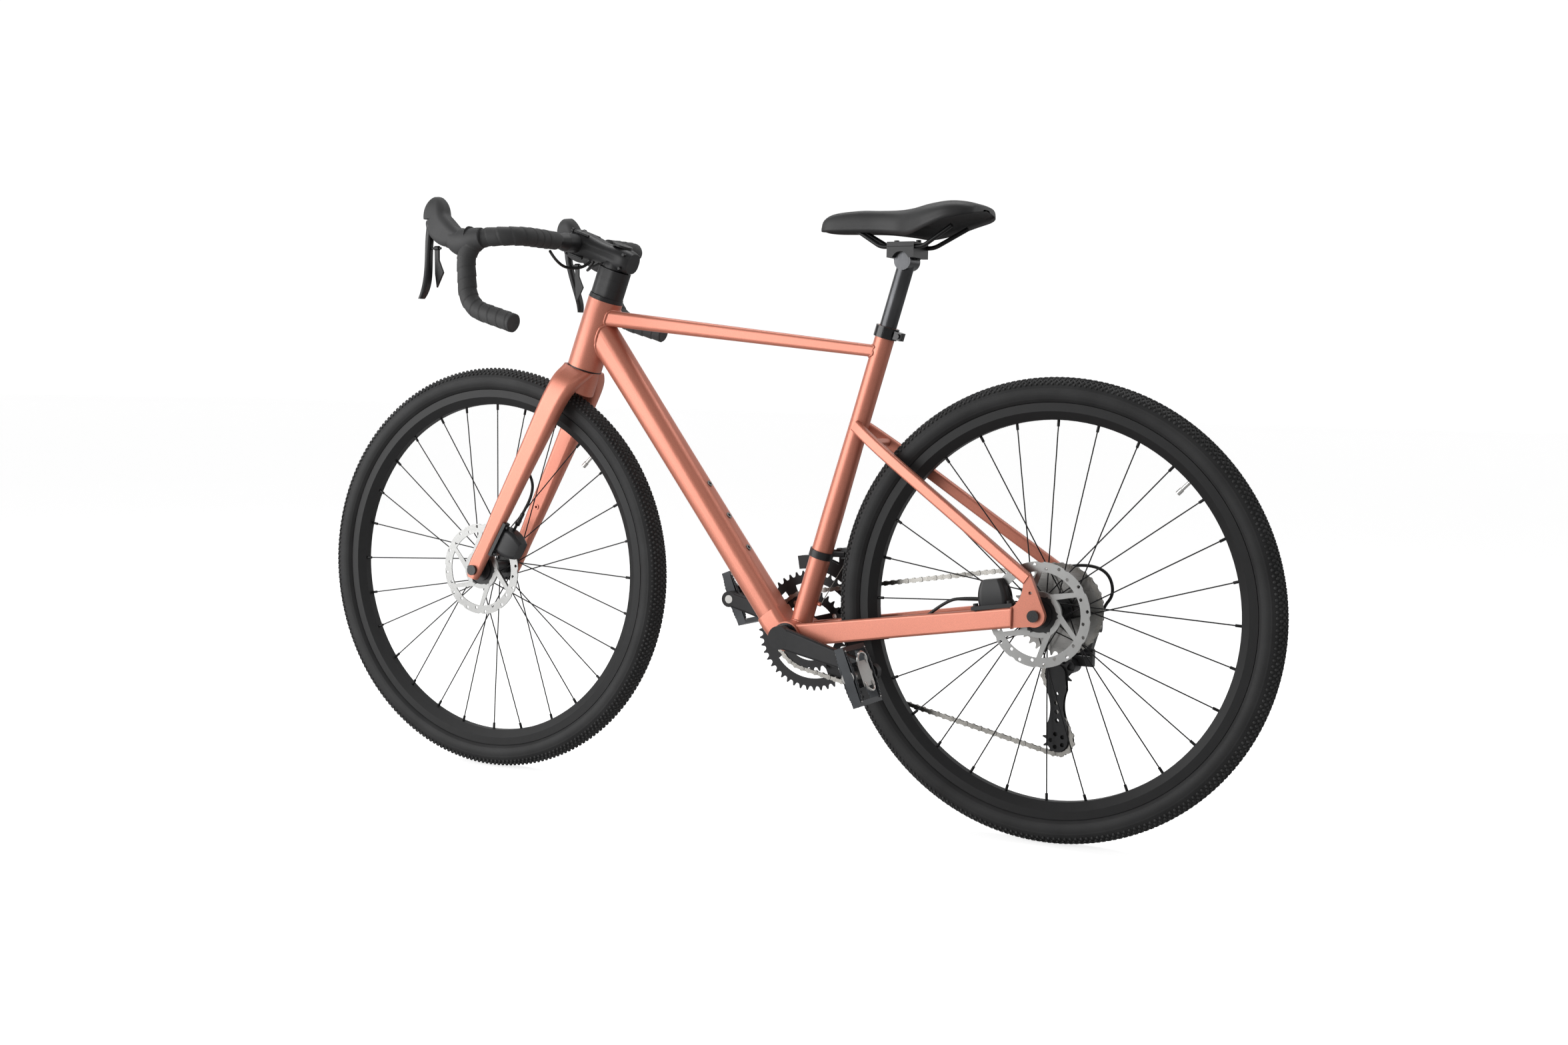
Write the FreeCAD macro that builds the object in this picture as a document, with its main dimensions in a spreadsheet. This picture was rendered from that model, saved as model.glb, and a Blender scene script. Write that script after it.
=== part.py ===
import FreeCAD, Part
import Sketcher
import math
import os

from FreeCAD import Vector

# Gravel bike with dropped bars, disc brakes and a two-by-eleven chain drive.
# Millimetres and degrees. X points forward, Y to the rider's left, Z up.
# The origin lies on the ground midway between the axles; the steering points ahead.

SIZES = {
    # Whole bike
    "wheelbase": 1050,
    "tyre_radius": 356,
    "chainstay_length": 441,
    "bottom_bracket_drop": 69.5,
    "head_angle": 70.3,
    "seat_angle": 73.5,
    "fork_rake": 55,
    "axle_to_crown": 399,
    "joint_gap": 0.3,
    "fit_gap": 0.05,
    "cut_overrun": 8,
    # Head tube and headset
    "head_tube_length": 122,
    "head_tube_radius": 30,
    "head_tube_bore": 26,
    "crown_gap": 2.4,
    "bearing_height": 8,
    "steerer_radius": 14.3,
    "steerer_bore": 11.6,
    "steerer_base_radius": 19.9,
    "steerer_base_height": 22,
    "cover_height": 7,
    "spacer_length": 58,
    "spacer_width": 48,
    "spacer_height": 15.8,
    "spacer_count": 3,
    "top_cap_radius": 17,
    "top_cap_height": 4,
    # Frame tubes
    "tube_wall": 1.9,
    "down_tube_join": 76,
    "down_tube_lead": 22,
    "down_tube_start": 40,
    "down_tube_low_width": 58,
    "down_tube_low_height": 44,
    "down_tube_high_width": 46,
    "down_tube_high_height": 53,
    "top_tube_join": 91,
    "top_tube_seat_join": 480,
    "top_tube_high_width": 40,
    "top_tube_high_height": 27,
    "top_tube_low_width": 30,
    "top_tube_low_height": 19,
    "seat_tube_length": 521,
    "seat_tube_taper_low": 208,
    "seat_tube_taper_high": 365,
    "seat_tube_low_radius": 17.45,
    "seat_tube_high_radius": 15.9,
    "shell_radius": 24,
    "shell_bore": 20.5,
    "shell_length": 86,
    "socket_width": 62,
    "socket_low_height": 36,
    "socket_high_height": 41,
    "socket_back": 12,
    "socket_ahead": 10,
    "cup_flange_radius": 22,
    "cup_flange": 2,
    "cup_depth": 12,
    # Stays and dropouts
    "chainstay_front_height": 37,
    "chainstay_rear_height": 30.8,
    "chainstay_width": 12,
    "chainstay_rear_width": 14,
    "chainstay_front_spread": 31.5,
    "chainstay_pinch_spread": 36,
    "chainstay_rear_drop": 5,
    "chainstay_start": 4.8,
    "seatstay_join": 358,
    "seatstay_height": 18.5,
    "seatstay_width": 13,
    "seatstay_top_spread": 15,
    "seatstay_pinch_spread": 36,
    "bridge_radius": 6.5,
    "dropout_inside": 71,
    "dropout_thickness": 9,
    "dropout_front": 35,
    "dropout_top_forward": 13,
    "dropout_top_height": 54,
    "dropout_round": 17,
    "dropout_hollow": 5,
    "dropout_back_angle": 160,
    "dropout_under_angle": 285,
    "eyelet_forward": 6.6,
    "eyelet_height": 34,
    "eyelet_radius": 2.5,
    "hanger_back": 9,
    "hanger_drop": 27,
    "hanger_round": 10,
    "hanger_root_round": 13.6,
    "hanger_bolt_radius": 5,
    "axle_radius": 6,
    "axle_head_radius": 9,
    "axle_head": 5,
    # Bottle bosses, along the down tube from the bottom bracket
    "boss_count": 3,
    "boss_first": 153,
    "boss_pitch": 64,
    "boss_radius": 5.5,
    "boss_barrel_radius": 4.2,
    "boss_height": 1.6,
    "boss_depth": 11,
    "boss_thread_radius": 2.5,
    # Seat collar, seatpost and saddle clamp
    "collar_height": 18,
    "collar_radius": 19,
    "collar_lug_length": 13,
    "collar_lug_width": 17,
    "collar_slot": 1.6,
    "collar_bolt_radius": 2.4,
    "post_radius": 13.6,
    "post_wall": 2.4,
    "post_insertion": 145,
    "post_rise": 106,
    "post_head_radius": 14,
    "post_head_width": 38,
    "rail_height": 22,
    "rail_radius": 3.5,
    "rail_half_gauge": 22,
    "rail_nose_half_gauge": 12,
    "rail_tail_half_gauge": 33,
    "clamp_length": 46,
    "clamp_width": 56,
    "clamp_base": 5,
    "clamp_plate": 7,
    "clamp_bolt_radius": 2.5,
    "clamp_bolt_span": 18.8,
    # Saddle
    "saddle_length": 276,
    "saddle_width": 146,
    "saddle_top": 80,
    "saddle_tail_rise": 10,
    "saddle_nose_ahead": 150,
    "saddle_depth": 44,
    "rail_nose_reach": 84,
    "rail_tail_reach": 88,
    "rail_flat": 36,
    "rail_nose_rise": 28,
    "rail_tail_rise": 30,
    "rail_bend": 30,
    # Fork
    "fork_blade_top_depth": 46,
    "fork_blade_top_width": 27,
    "fork_blade_tip_width": 14,
    "fork_inside": 50,
    "fork_shoulder_drop": 48,
    "fork_wall": 3.2,
    "fork_tyre_gap": 10,
    "fork_tyre_half_width": 30,
    "fork_boss_height": 122,
    "fork_boss_radius": 4.5,
    "fork_boss_lift": 1.5,
    "fork_boss_depth": 10,
    # Stem and bar
    "stem_reach": 80,
    "stem_height": 40,
    "stem_width": 46,
    "stem_back": 31,
    "stem_drop": 2,
    "stem_clamp_height": 47,
    "stem_clamp_width": 48,
    "faceplate_depth": 20,
    "faceplate_gap": 1.2,
    "faceplate_bolt_radius": 2.4,
    "faceplate_bolt_rise": 19.6,
    "faceplate_bolt_spread": 17,
    "faceplate_bolt_depth": 22,
    "bolt_head_radius": 4,
    "bolt_head_height": 4,
    "hex_socket_radius": 2,
    "pinch_bolt_back": 22,
    "pinch_bolt_gap": 24,
    "pinch_bolt_half": 26,
    "bar_clamp_radius": 15.9,
    "bar_radius": 12,
    "bar_wall": 2,
    "bar_clamp_half": 52,
    "bar_cone": 18,
    "bar_top_half_width": 186,
    "bar_reach": 90,
    "bar_hook_half_width": 207,
    "bar_hook_drop": 5,
    "bar_low_reach": 70,
    "bar_low_half_width": 222,
    "bar_low_drop": 118,
    "bar_end_back": 24,
    "bar_end_half_width": 228,
    "bar_end_drop": 144,
    "bar_shoulder_bend": 45,
    "bar_hook_bend": 40,
    "bar_low_bend": 52,
    "tape_radius": 15.8,
    "tape_start": 80,
    "plug_head": 3,
    "plug_depth": 14,
    # Lever hoods, brake levers and shift paddles
    "hood_start": 82,
    "hood_width": 35,
    "hood_height": 41,
    "hood_reach": 162,
    "hood_rise": 65,
    "horn_depth": 47,
    "hood_half_width": 205,
    "horn_half_width": 187,
    "lever_pivot_ahead": 165,
    "lever_pivot_rise": 17,
    "lever_half_width": 200,
    "lever_length": 122,
    "lever_tip_spread": 31,
    "lever_width": 14,
    "lever_thickness": 12,
    "lever_slot_gap": 3.6,
    "lever_slot_back": 16,
    "paddle_slot_back": 38,
    "paddle_slot_drop": 20,
    "lever_pin_radius": 2.5,
    "lever_pin_half": 12,
    "paddle_pivot_ahead": 150,
    "paddle_pivot_drop": 20,
    "paddle_pin_radius": 2,
    "paddle_length": 65,
    "paddle_width": 22,
    "paddle_thickness": 4,
    "paddle_arm": 8,
    "paddle_side": 4,
    # Wheels
    "tyre_half_width": 22.5,
    "tyre_side_radius": 331,
    "tyre_shoulder_radius": 349,
    "tyre_shoulder_half_width": 15,
    "tyre_bead_radius": 309.9,
    "tyre_bead_half_width": 12.2,
    "tyre_side_wall": 2.2,
    "tyre_tread": 4.5,
    "tyre_lip_gap": 0.75,
    "tyre_low_tuck": 1.4,
    "rim_radius": 317,
    "rim_bed_radius": 291,
    "rim_half_width": 15,
    "rim_bed_half_width": 6.5,
    "rim_wall": 2.5,
    "rim_side_wall": 3.5,
    "rim_seat_radius": 309.5,
    "rim_well_depth": 2.5,
    "sleeve_low": 294,
    "sleeve_high": 301,
    "sleeve_half_width": 4,
    "spoke_count": 28,
    "spoke_crossings": 2,
    "spoke_radius": 1,
    "spoke_stagger": 2.5,
    "spoke_flange_gap": 0.8,
    "spoke_head_radius": 1.9,
    "nipple_radius": 2.2,
    "nipple_length": 13,
    "nipple_inside": 3,
    "flange_radius": 24.5,
    "flange_circle_radius": 21,
    "flange_thickness": 3.2,
    "hub_barrel_radius": 11.5,
    "hub_cap_radius": 9.5,
    "hub_bearing_radius": 10,
    "hub_bearing_width": 6,
    "front_left_flange": 21,
    "front_right_flange": 34,
    "rear_left_flange": 33,
    "rear_right_flange": 21,
    "rear_shell_end": 26,
    "valve_radius": 3,
    "valve_length": 44,
    "valve_cap_radius": 4,
    "valve_cap_length": 9,
    "valve_angle": 135,
    # Brake rotors and calipers
    "rotor_radius": 80,
    "rotor_thickness": 1.8,
    "rotor_band": 15,
    "rotor_lug_radius": 27,
    "rotor_rivet_circle": 31,
    "rotor_rivet_radius": 2.6,
    "rotor_arms": 6,
    "rotor_arm_inner_radius": 4.7,
    "rotor_arm_outer_radius": 3.4,
    "rotor_hole_radius": 2.6,
    "rotor_holes": 24,
    "rotor_scallop": 1.6,
    "rotor_scallop_radius": 9,
    "front_rotor_inset": 10.5,
    "rear_rotor_inset": 15.4,
    "carrier_radius": 35,
    "carrier_thickness": 3,
    "carrier_bore": 17,
    "lockring_radius": 20,
    "lockring_width": 3,
    "caliper_length": 46,
    "caliper_height": 44,
    "caliper_width": 30,
    "caliper_base_length": 66,
    "caliper_base": 6,
    "caliper_base_half": 6.6,
    "caliper_slot": 3.8,
    "caliper_slot_gap": 1.6,
    "caliper_bolt_radius": 2.5,
    "caliper_bolt_span": 54.4,
    "caliper_bolt_depth": 12,
    "front_caliper_height": 70,
    "rear_caliper_ahead": 68,
    # Drive train
    "chain_pitch": 12.7,
    "chain_lead": 26,
    "roller_radius": 3.88,
    "roller_half": 1.2,
    "link_plate": 0.8,
    "link_end_radius": 4.1,
    "link_waist": 2.9,
    "link_side_gap": 0.1,
    "pin_radius": 1.75,
    "pin_half": 3.2,
    "tooth_seat_gap": 0.17,
    "tooth_tip": 3.1,
    "tooth_seat_angle": 62,
    "tooth_tip_width": 1.7,
    "sprocket_thickness": 1.6,
    "sprocket_pitch": 3.74,
    "freehub_radius": 17,
    "large_sprocket_offset": 28.5,
    "large_ring_teeth": 48,
    "small_ring_teeth": 32,
    "ring_thickness": 2,
    "small_ring_offset": 43.4,
    "large_ring_offset": 50.4,
    "ring_inner_radius": 49,
    "large_ring_inner_radius": 80,
    "ring_bolt_circle": 52.5,
    "ring_tab_radius": 6.8,
    "ring_root_radius": 12,
    "ring_root_depth": 8,
    "ring_bolt_radius": 4,
    "spider_arms": 4,
    "crank_length": 172.5,
    "crank_angle": 13,
    "crank_boss_radius": 19,
    "crank_eye_radius": 13.5,
    "crank_thickness": 14,
    "crank_inside": 54,
    "crank_flare": 9,
    "spindle_radius": 14.9,
    "spindle_bore": 12,
    "pedal_spindle_radius": 4.6,
    "pedal_thread_radius": 7,
    "pedal_flange_radius": 9,
    "pedal_flange": 3,
    "pedal_length": 94,
    "pedal_width": 74,
    "pedal_thickness": 15,
    "pedal_rim": 8,
    "pedal_barrel_radius": 10.5,
    "pedal_window_start": 12.6,
    "pedal_tilt": 68,
    "pedal_clip_length": 40,
    "pedal_clip_width": 38,
    "pedal_clip_height": 27,
    # Front derailleur
    "band_along": 139,
    "band_height": 12,
    "band_thickness": 2.4,
    "swing_back": 60.5,
    "swing_side": 27,
    "swing_height": 137,
    "swing_arm_width": 12,
    "swing_pin_radius": 2.5,
    "swing_eye_radius": 5,
    "cage_low_radius": 104,
    "cage_high_radius": 126,
    "cage_plate": 1.4,
    "cage_front_angle": 80,
    "cage_rear_angle": 148,
    "rear_bridge_angle": 144,
    "front_bridge_start_angle": 82,
    "front_bridge_end_angle": 90,
    "swing_arm_angle": 118,
    "cage_inner_offset": 35.4,
    "cage_outer_offset": 48.4,
    "derailleur_block": 13,
    "derailleur_block_height": 22,
    "derailleur_neck_radius": 4.5,
    # Rear derailleur
    "pulley_teeth": 11,
    "guide_back": 1,
    "guide_drop": 99,
    "pulley_spacing": 103,
    "tension_lean_limit": 14,
    "cage_pivot_back": 15,
    "cage_pivot_drop": 88,
    "cage_pivot_radius": 12,
    "cage_pin_radius": 5,
    "rear_cage_half_gap": 4,
    "rear_cage_plate": 2,
    "rear_cage_guide_round": 15,
    "rear_cage_tension_round": 17,
    "rear_cage_waist": 20,
    "rear_cage_scallop": 62,
    "rear_cage_hole": 3.4,
    "rear_cage_ring": 10.4,
    "rear_cage_ring_holes": 5,
    "pulley_pin_radius": 2.5,
    "pulley_half_hub": 3.7,
    "pulley_hub_radius": 7,
    "link_top_back": 33,
    "link_top_side": 92,
    "link_top_drop": 32,
    "link_low_side": 60,
    "link_low_drop": 66,
    "link_width": 22,
    "link_round": 6,
    "link_pin_radius": 3,
    "link_ear": 4,
    "knuckle_radius": 11,
    "knuckle_length": 16,
    # Cables held by the bike
    "hose_radius": 2.5,
    "wire_radius": 0.8,
    "brake_hose_run": 112,
    "wire_boss_along": 60,
    "wire_boss_radius": 3.5,
    "wire_boss_height": 7.5,
}

# Shares: (0 at one end, 1 at the other) and how far the shape has changed there.
CHAINSTAY_SPREAD_SHARES = ((0.45, 0.23), (0.8, 0.72))
SEATSTAY_PINCH_SHARE = 0.2
BRIDGE_SHARE = 0.12
HOSE_BEND_SHARE = 0.45
DOWN_TUBE_MIDDLE_SHARES = (0.5, 0.7, 0.4)
TOP_TUBE_MIDDLE_SHARES = (0.6, 0.5, 0.65)
SOCKET_DROP_SHARES = (0.4, 0.8)
COLLAR_LUG_SHARES = (0.15, 0.85)
SOFT_ROUND_SHARE = 0.86
BOX_ROUND_SHARE = 0.55
SPROCKET_TEETH = (34, 30, 27, 25, 23, 21, 19, 17, 15, 13, 11)


# The sheet of driving dimensions

doc = FreeCAD.newDocument("gravel_bike")
dims = doc.addObject("Spreadsheet::Sheet", "dims")
for row, (name, value) in enumerate(SIZES.items(), start=1):
    dims.set(f"A{row}", name)
    dims.set(f"B{row}", str(value))
    dims.setAlias(f"B{row}", name)
doc.recompute()


class Sheet:
    """Gives a size of the sheet by its name."""

    def __getattr__(self, name):
        return float(dims.get(name))


size = Sheet()
nodes = []


# Places that the whole bike shares

SIDE = Vector(0, 1, 0)
UP = Vector(0, 0, 1)
AHEAD = Vector(1, 0, 0)
SIDES = (("left", 1), ("right", -1))


def slope(degrees):
    """Unit vectors along an axis that leans back, and forward square to it."""
    lean = math.radians(degrees)
    along = Vector(-math.cos(lean), 0, math.sin(lean))
    ahead = Vector(math.sin(lean), 0, math.cos(lean))
    return along, ahead


head_up, head_ahead = slope(size.head_angle)
seat_up, seat_ahead = slope(size.seat_angle)
rear_axle = Vector(-size.wheelbase / 2, 0, size.tyre_radius)
front_axle = Vector(size.wheelbase / 2, 0, size.tyre_radius)
shell_run = math.sqrt(size.chainstay_length ** 2 - size.bottom_bracket_drop ** 2)
crank_axle = rear_axle + AHEAD * shell_run - UP * size.bottom_bracket_drop
steer_foot = front_axle - head_ahead * size.fork_rake

head_low = size.axle_to_crown + size.crown_gap
head_high = head_low + size.head_tube_length
spacer_low = head_high + size.joint_gap + size.cover_height
stem_low = spacer_low + size.spacer_count * size.spacer_height
stem_mid = stem_low + size.stem_height / 2
stem_high = stem_low + size.stem_height


def steered(ahead, along, side=0.0):
    """A point of the steered parts: forward of the steering axis and along it."""
    return steer_foot + head_ahead * ahead + head_up * along + SIDE * side


bar_centre = steered(size.stem_reach, stem_mid - size.stem_drop)


def from_bar(ahead, side, rise):
    """A point measured from the middle of the bar."""
    return bar_centre + AHEAD * ahead + SIDE * side + UP * rise


# Small helpers

def between(first, last, share):
    """The value or point at a share of the way from first to last."""
    return first + (last - first) * share


def turn_to(along, ahead):
    """Rotation whose Z runs along one direction and whose X points ahead."""
    return FreeCAD.Rotation(ahead, along.cross(ahead), along, "ZXY")


STEERING = FreeCAD.Placement(steer_foot, turn_to(head_up, head_ahead))


def keep(thing, label):
    """Names an object as one of the bike's pieces."""
    thing.Label = label
    nodes.append(thing)
    return thing


def blank(name, shape):
    """A shape of the document that is worked out with Part's own functions."""
    thing = doc.addObject("Part::Feature", name)
    thing.Shape = shape
    return thing


def shaped(label, shapes):
    """A piece made of one shape, or of several separate solids."""
    many = isinstance(shapes, (list, tuple))
    shape = Part.makeCompound(list(shapes)) if many else shapes
    return keep(blank(label, shape), label)


def new_body(name):
    return doc.addObject("PartDesign::Body", name)


def plane_of(body, role):
    return next(item for item in body.Origin.OriginFeatures if item.Role == role)


def new_sketch(body, name, role="XY_Plane"):
    sketch = body.newObject("Sketcher::SketchObject", name)
    sketch.AttachmentSupport = [(plane_of(body, role), "")]
    sketch.MapMode = "FlatFace"
    return sketch


def bound_circle(sketch, radius):
    """A circle about the sketch's origin whose radius is an expression."""
    value = float(sketch.evalExpression(radius))
    circle = sketch.addGeometry(Part.Circle(Vector(), UP, value), False)
    sketch.addConstraint(Sketcher.Constraint("Coincident", circle, 3, -1, 1))
    rule = sketch.addConstraint(Sketcher.Constraint("Radius", circle, value))
    sketch.setExpression(f"Constraints[{rule}]", radius)


def bound_loop(sketch, corners):
    """A closed outline of lines whose corners are pairs of expressions."""
    values = []
    for across, along in corners:
        values.append(Vector(sketch.evalExpression(across), sketch.evalExpression(along), 0))
    first = sketch.GeometryCount
    count = len(values)
    for i in range(count):
        sketch.addGeometry(Part.LineSegment(values[i], values[(i + 1) % count]), False)
    for i in range(count):
        ends = (first + i, 2, first + (i + 1) % count, 1)
        sketch.addConstraint(Sketcher.Constraint("Coincident", *ends))
    for i, corner in enumerate(corners):
        for kind, rule, value in zip(("DistanceX", "DistanceY"), corner, values[i]):
            spot = sketch.addConstraint(Sketcher.Constraint(kind, -1, 1, first + i, 1, value))
            sketch.setExpression(f"Constraints[{spot}]", rule)


def turned(name, loops, place):
    """A turned piece: outlines of (radius, along) expressions spun about its Y axis."""
    body = new_body(name)
    sketch = new_sketch(body, name + "_profile")
    for loop in loops:
        bound_loop(sketch, loop)
    spin = body.newObject("PartDesign::Revolution", name + "_turn")
    spin.Profile = sketch
    spin.ReferenceAxis = (sketch, ["V_Axis"])
    body.Placement = place
    return body


def ring(name, outer, inner, length, place):
    """A straight tube along its own Z axis, from expressions."""
    body = new_body(name)
    sketch = new_sketch(body, name + "_circles")
    bound_circle(sketch, outer)
    bound_circle(sketch, inner)
    pad = body.newObject("PartDesign::Pad", name + "_pad")
    pad.Profile = sketch
    pad.setExpression("Length", length)
    body.Placement = place
    return body


def cut_of(label, base, tool):
    """A piece that is one object less another."""
    cut = doc.addObject("Part::Cut", label)
    cut.Base = base
    cut.Tool = tool
    return keep(cut, label)


def rod(start, end, radius):
    """A round bar from one point to another."""
    return Part.makeCylinder(radius, (end - start).Length, start, end - start)


def across(centre, radius, low, high):
    """A round bar along Y, between two places on that axis."""
    start = Vector(centre.x, min(low, high), centre.z)
    return Part.makeCylinder(radius, abs(high - low), start, SIDE)


def washer(centre, radius, bore, low, high):
    """A flat ring about Y, between two places on that axis."""
    over = size.cut_overrun
    hole = across(centre, bore, min(low, high) - over, max(low, high) + over)
    return across(centre, radius, low, high).cut(hole)


def block(low, high):
    """A box between two corners."""
    span = high - low
    return Part.makeBox(span.x, span.y, span.z, low)


def section(centre, along, width, height, round_share):
    """A rounded rectangle across a direction: width sideways, height square to it."""
    ahead = Vector(along).normalize()
    side = (SIDE - ahead * ahead.y).normalize()
    rise = ahead.cross(side)
    half_w = width / 2
    half_h = height / 2
    bend = round_share * min(half_w, half_h)
    nip = bend * (1 - math.sqrt(0.5))

    def at(u, v):
        return centre + side * u + rise * v

    starts = (at(half_w, half_h - bend), at(bend - half_w, half_h),
              at(-half_w, bend - half_h), at(half_w - bend, -half_h))
    middles = (at(half_w - nip, half_h - nip), at(nip - half_w, half_h - nip),
               at(nip - half_w, nip - half_h), at(half_w - nip, nip - half_h))
    ends = (at(half_w - bend, half_h), at(-half_w, half_h - bend),
            at(bend - half_w, -half_h), at(half_w, bend - half_h))
    edges = []
    for i in range(4):
        edges.append(Part.Arc(starts[i], middles[i], ends[i]).toShape())
        edges.append(Part.makeLine(ends[i], starts[(i + 1) % 4]))
    return Part.Wire(edges)


def loft(stations, round_share, thinner=0.0):
    """A solid through sections of (centre, direction, width, height)."""
    wires = []
    for centre, along, width, height in stations:
        wires.append(section(centre, along, width - 2 * thinner, height - 2 * thinner, round_share))
    return Part.makeLoft(wires, True)


def mirrored(shape):
    """The same shape on the other side of the bike."""
    return shape.mirror(Vector(), SIDE)


def on_side(shape, sign):
    return shape if sign > 0 else mirrored(shape)


def route(points, radii):
    """Straight runs joined by arcs that touch them, one radius for each inner point."""
    edges = []
    last = points[0]
    for before, corner, after, radius in zip(points, points[1:], points[2:], radii):
        back = (before - corner).normalize()
        onward = (after - corner).normalize()
        half_turn = (math.pi - back.getAngle(onward)) / 2
        reach = radius * math.tan(half_turn)
        inward = (back + onward).normalize()
        middle = corner + inward * (radius / math.cos(half_turn) - radius)
        edges.append(Part.makeLine(last, corner + back * reach))
        edges.append(Part.Arc(corner + back * reach, middle, corner + onward * reach).toShape())
        last = corner + onward * reach
    edges.append(Part.makeLine(last, points[-1]))
    return Part.Wire(edges)


def pipe(path, radius):
    """A round bar along a route."""
    edge = path.Edges[0]
    start = edge.valueAt(edge.FirstParameter)
    circle = Part.makeCircle(radius, start, edge.tangentAt(edge.FirstParameter))
    return path.makePipeShell([Part.Wire(circle)], True, False)


def hose(points, radius):
    """A hose whose arcs are as large as its runs allow."""
    radii = []
    for before, corner, after in zip(points, points[1:], points[2:]):
        shorter = min((before - corner).Length, (after - corner).Length)
        half_turn = (math.pi - (before - corner).getAngle(after - corner)) / 2
        radii.append(HOSE_BEND_SHARE * shorter / math.tan(half_turn))
    print("hose radii", [round(r, 1) for r in radii])
    return pipe(route(points, radii), radius)


def flat(outline, low, high):
    """A plate between two places on the Y axis, from a wire in the XZ plane."""
    face = Part.Face(outline)
    face.translate(SIDE * low)
    return face.extrude(SIDE * (high - low))


def sector(centre, inner, outer, start, end):
    """An outline between two radii and two angles, about an axis along Y."""
    def at(radius, degrees):
        turn = math.radians(degrees)
        return centre + AHEAD * radius * math.cos(turn) + UP * radius * math.sin(turn)

    middle = (start + end) / 2
    return Part.Wire([
        Part.Arc(at(outer, start), at(outer, middle), at(outer, end)).toShape(),
        Part.makeLine(at(outer, end), at(inner, end)),
        Part.Arc(at(inner, end), at(inner, middle), at(inner, start)).toShape(),
        Part.makeLine(at(inner, start), at(outer, start)),
    ])


def biggest(shape):
    """The largest solid of a shape."""
    return max(shape.Solids, key=lambda solid: solid.Volume)


# Frame tubes

down_high = steered(0, head_low + size.down_tube_join)
down_foot = crank_axle + AHEAD * size.down_tube_lead
down_along = (down_high - down_foot).normalize()
down_rise = SIDE.cross(down_along) * -1
down_low = down_foot + down_along * size.down_tube_start
place_share, width_share, height_share = DOWN_TUBE_MIDDLE_SHARES
down_stations = (
    (down_low, down_along, size.down_tube_low_width, size.down_tube_low_height),
    (between(down_low, down_high, place_share), down_along,
     between(size.down_tube_low_width, size.down_tube_high_width, width_share),
     between(size.down_tube_low_height, size.down_tube_high_height, height_share)),
    (down_high, down_along, size.down_tube_high_width, size.down_tube_high_height),
)
down_outer = loft(down_stations, SOFT_ROUND_SHARE)
down_inner = loft(down_stations, SOFT_ROUND_SHARE, size.tube_wall)

top_front = steered(0, head_low + size.top_tube_join)
top_back = crank_axle + seat_up * size.top_tube_seat_join
top_along = (top_front - top_back).normalize()
place_share, width_share, height_share = TOP_TUBE_MIDDLE_SHARES
top_stations = (
    (top_back, top_along, size.top_tube_low_width, size.top_tube_low_height),
    (between(top_back, top_front, place_share), top_along,
     between(size.top_tube_low_width, size.top_tube_high_width, width_share),
     between(size.top_tube_low_height, size.top_tube_high_height, height_share)),
    (top_front, top_along, size.top_tube_high_width, size.top_tube_high_height),
)
top_outer = loft(top_stations, BOX_ROUND_SHARE)
top_inner = loft(top_stations, BOX_ROUND_SHARE, size.tube_wall)

head_outer = rod(steered(0, head_low), steered(0, head_high), size.head_tube_radius)
keep(ring("head_tube", "dims.head_tube_radius", "dims.head_tube_bore", "dims.head_tube_length",
          FreeCAD.Placement(steered(0, head_low), STEERING.Rotation)), "head_tube")

seat_place = FreeCAD.Placement(crank_axle, FreeCAD.Rotation(seat_ahead, seat_up, SIDE * -1, "YXZ"))
seat_blank = turned("seat_tube_blank", [[
    ("dims.post_radius + dims.fit_gap", "0"),
    ("dims.seat_tube_low_radius", "0"),
    ("dims.seat_tube_low_radius", "dims.seat_tube_taper_low"),
    ("dims.seat_tube_high_radius", "dims.seat_tube_taper_high"),
    ("dims.seat_tube_high_radius", "dims.seat_tube_length"),
    ("dims.post_radius + dims.fit_gap", "dims.seat_tube_length"),
]], seat_place)
doc.recompute()
seat_outer = seat_blank.Shape.fuse(rod(crank_axle, crank_axle + seat_up * size.seat_tube_length,
                                       size.post_radius + size.fit_gap)).removeSplitter()

# Bottom bracket shell: a cylinder with a forged socket that the down tube butts on
shell_half = size.shell_length / 2
shell_drop = (down_foot - crank_axle).dot(down_rise)
socket_stations = (
    (crank_axle + down_rise * shell_drop * SOCKET_DROP_SHARES[0] - down_along * size.socket_back,
     down_along, size.socket_width, size.socket_low_height),
    (crank_axle + down_rise * shell_drop * SOCKET_DROP_SHARES[1] + down_along * size.socket_ahead,
     down_along, size.socket_width, size.socket_high_height),
    (down_low, down_along, size.down_tube_low_width, size.down_tube_low_height),
)
shell_outer = across(crank_axle, size.shell_radius, -shell_half, shell_half)
shell_outer = shell_outer.fuse(loft(socket_stations, BOX_ROUND_SHARE)).removeSplitter()
shell_over = shell_half + size.cut_overrun
shell_hole = across(crank_axle, size.shell_bore, -shell_over, shell_over)
shaped("bottom_bracket_shell", shell_outer.cut(shell_hole))

shell_blank = blank("shell_outside", shell_outer)
cut_of("seat_tube", seat_blank, shell_blank)
shaped("top_tube", biggest(top_outer.cut(top_inner).cut([head_outer, seat_outer, down_outer])))


# Bottle bosses: threaded inserts set in the upper face of the down tube

def down_surface(station):
    """The point of the down tube's upper face at a distance from its foot."""
    inside = down_foot + down_along * station
    ray = Part.makeLine(inside, inside + down_rise * size.down_tube_high_height)
    return max((v.Point for v in ray.common(down_outer).Vertexes), key=lambda p: (p - inside).Length)


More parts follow.
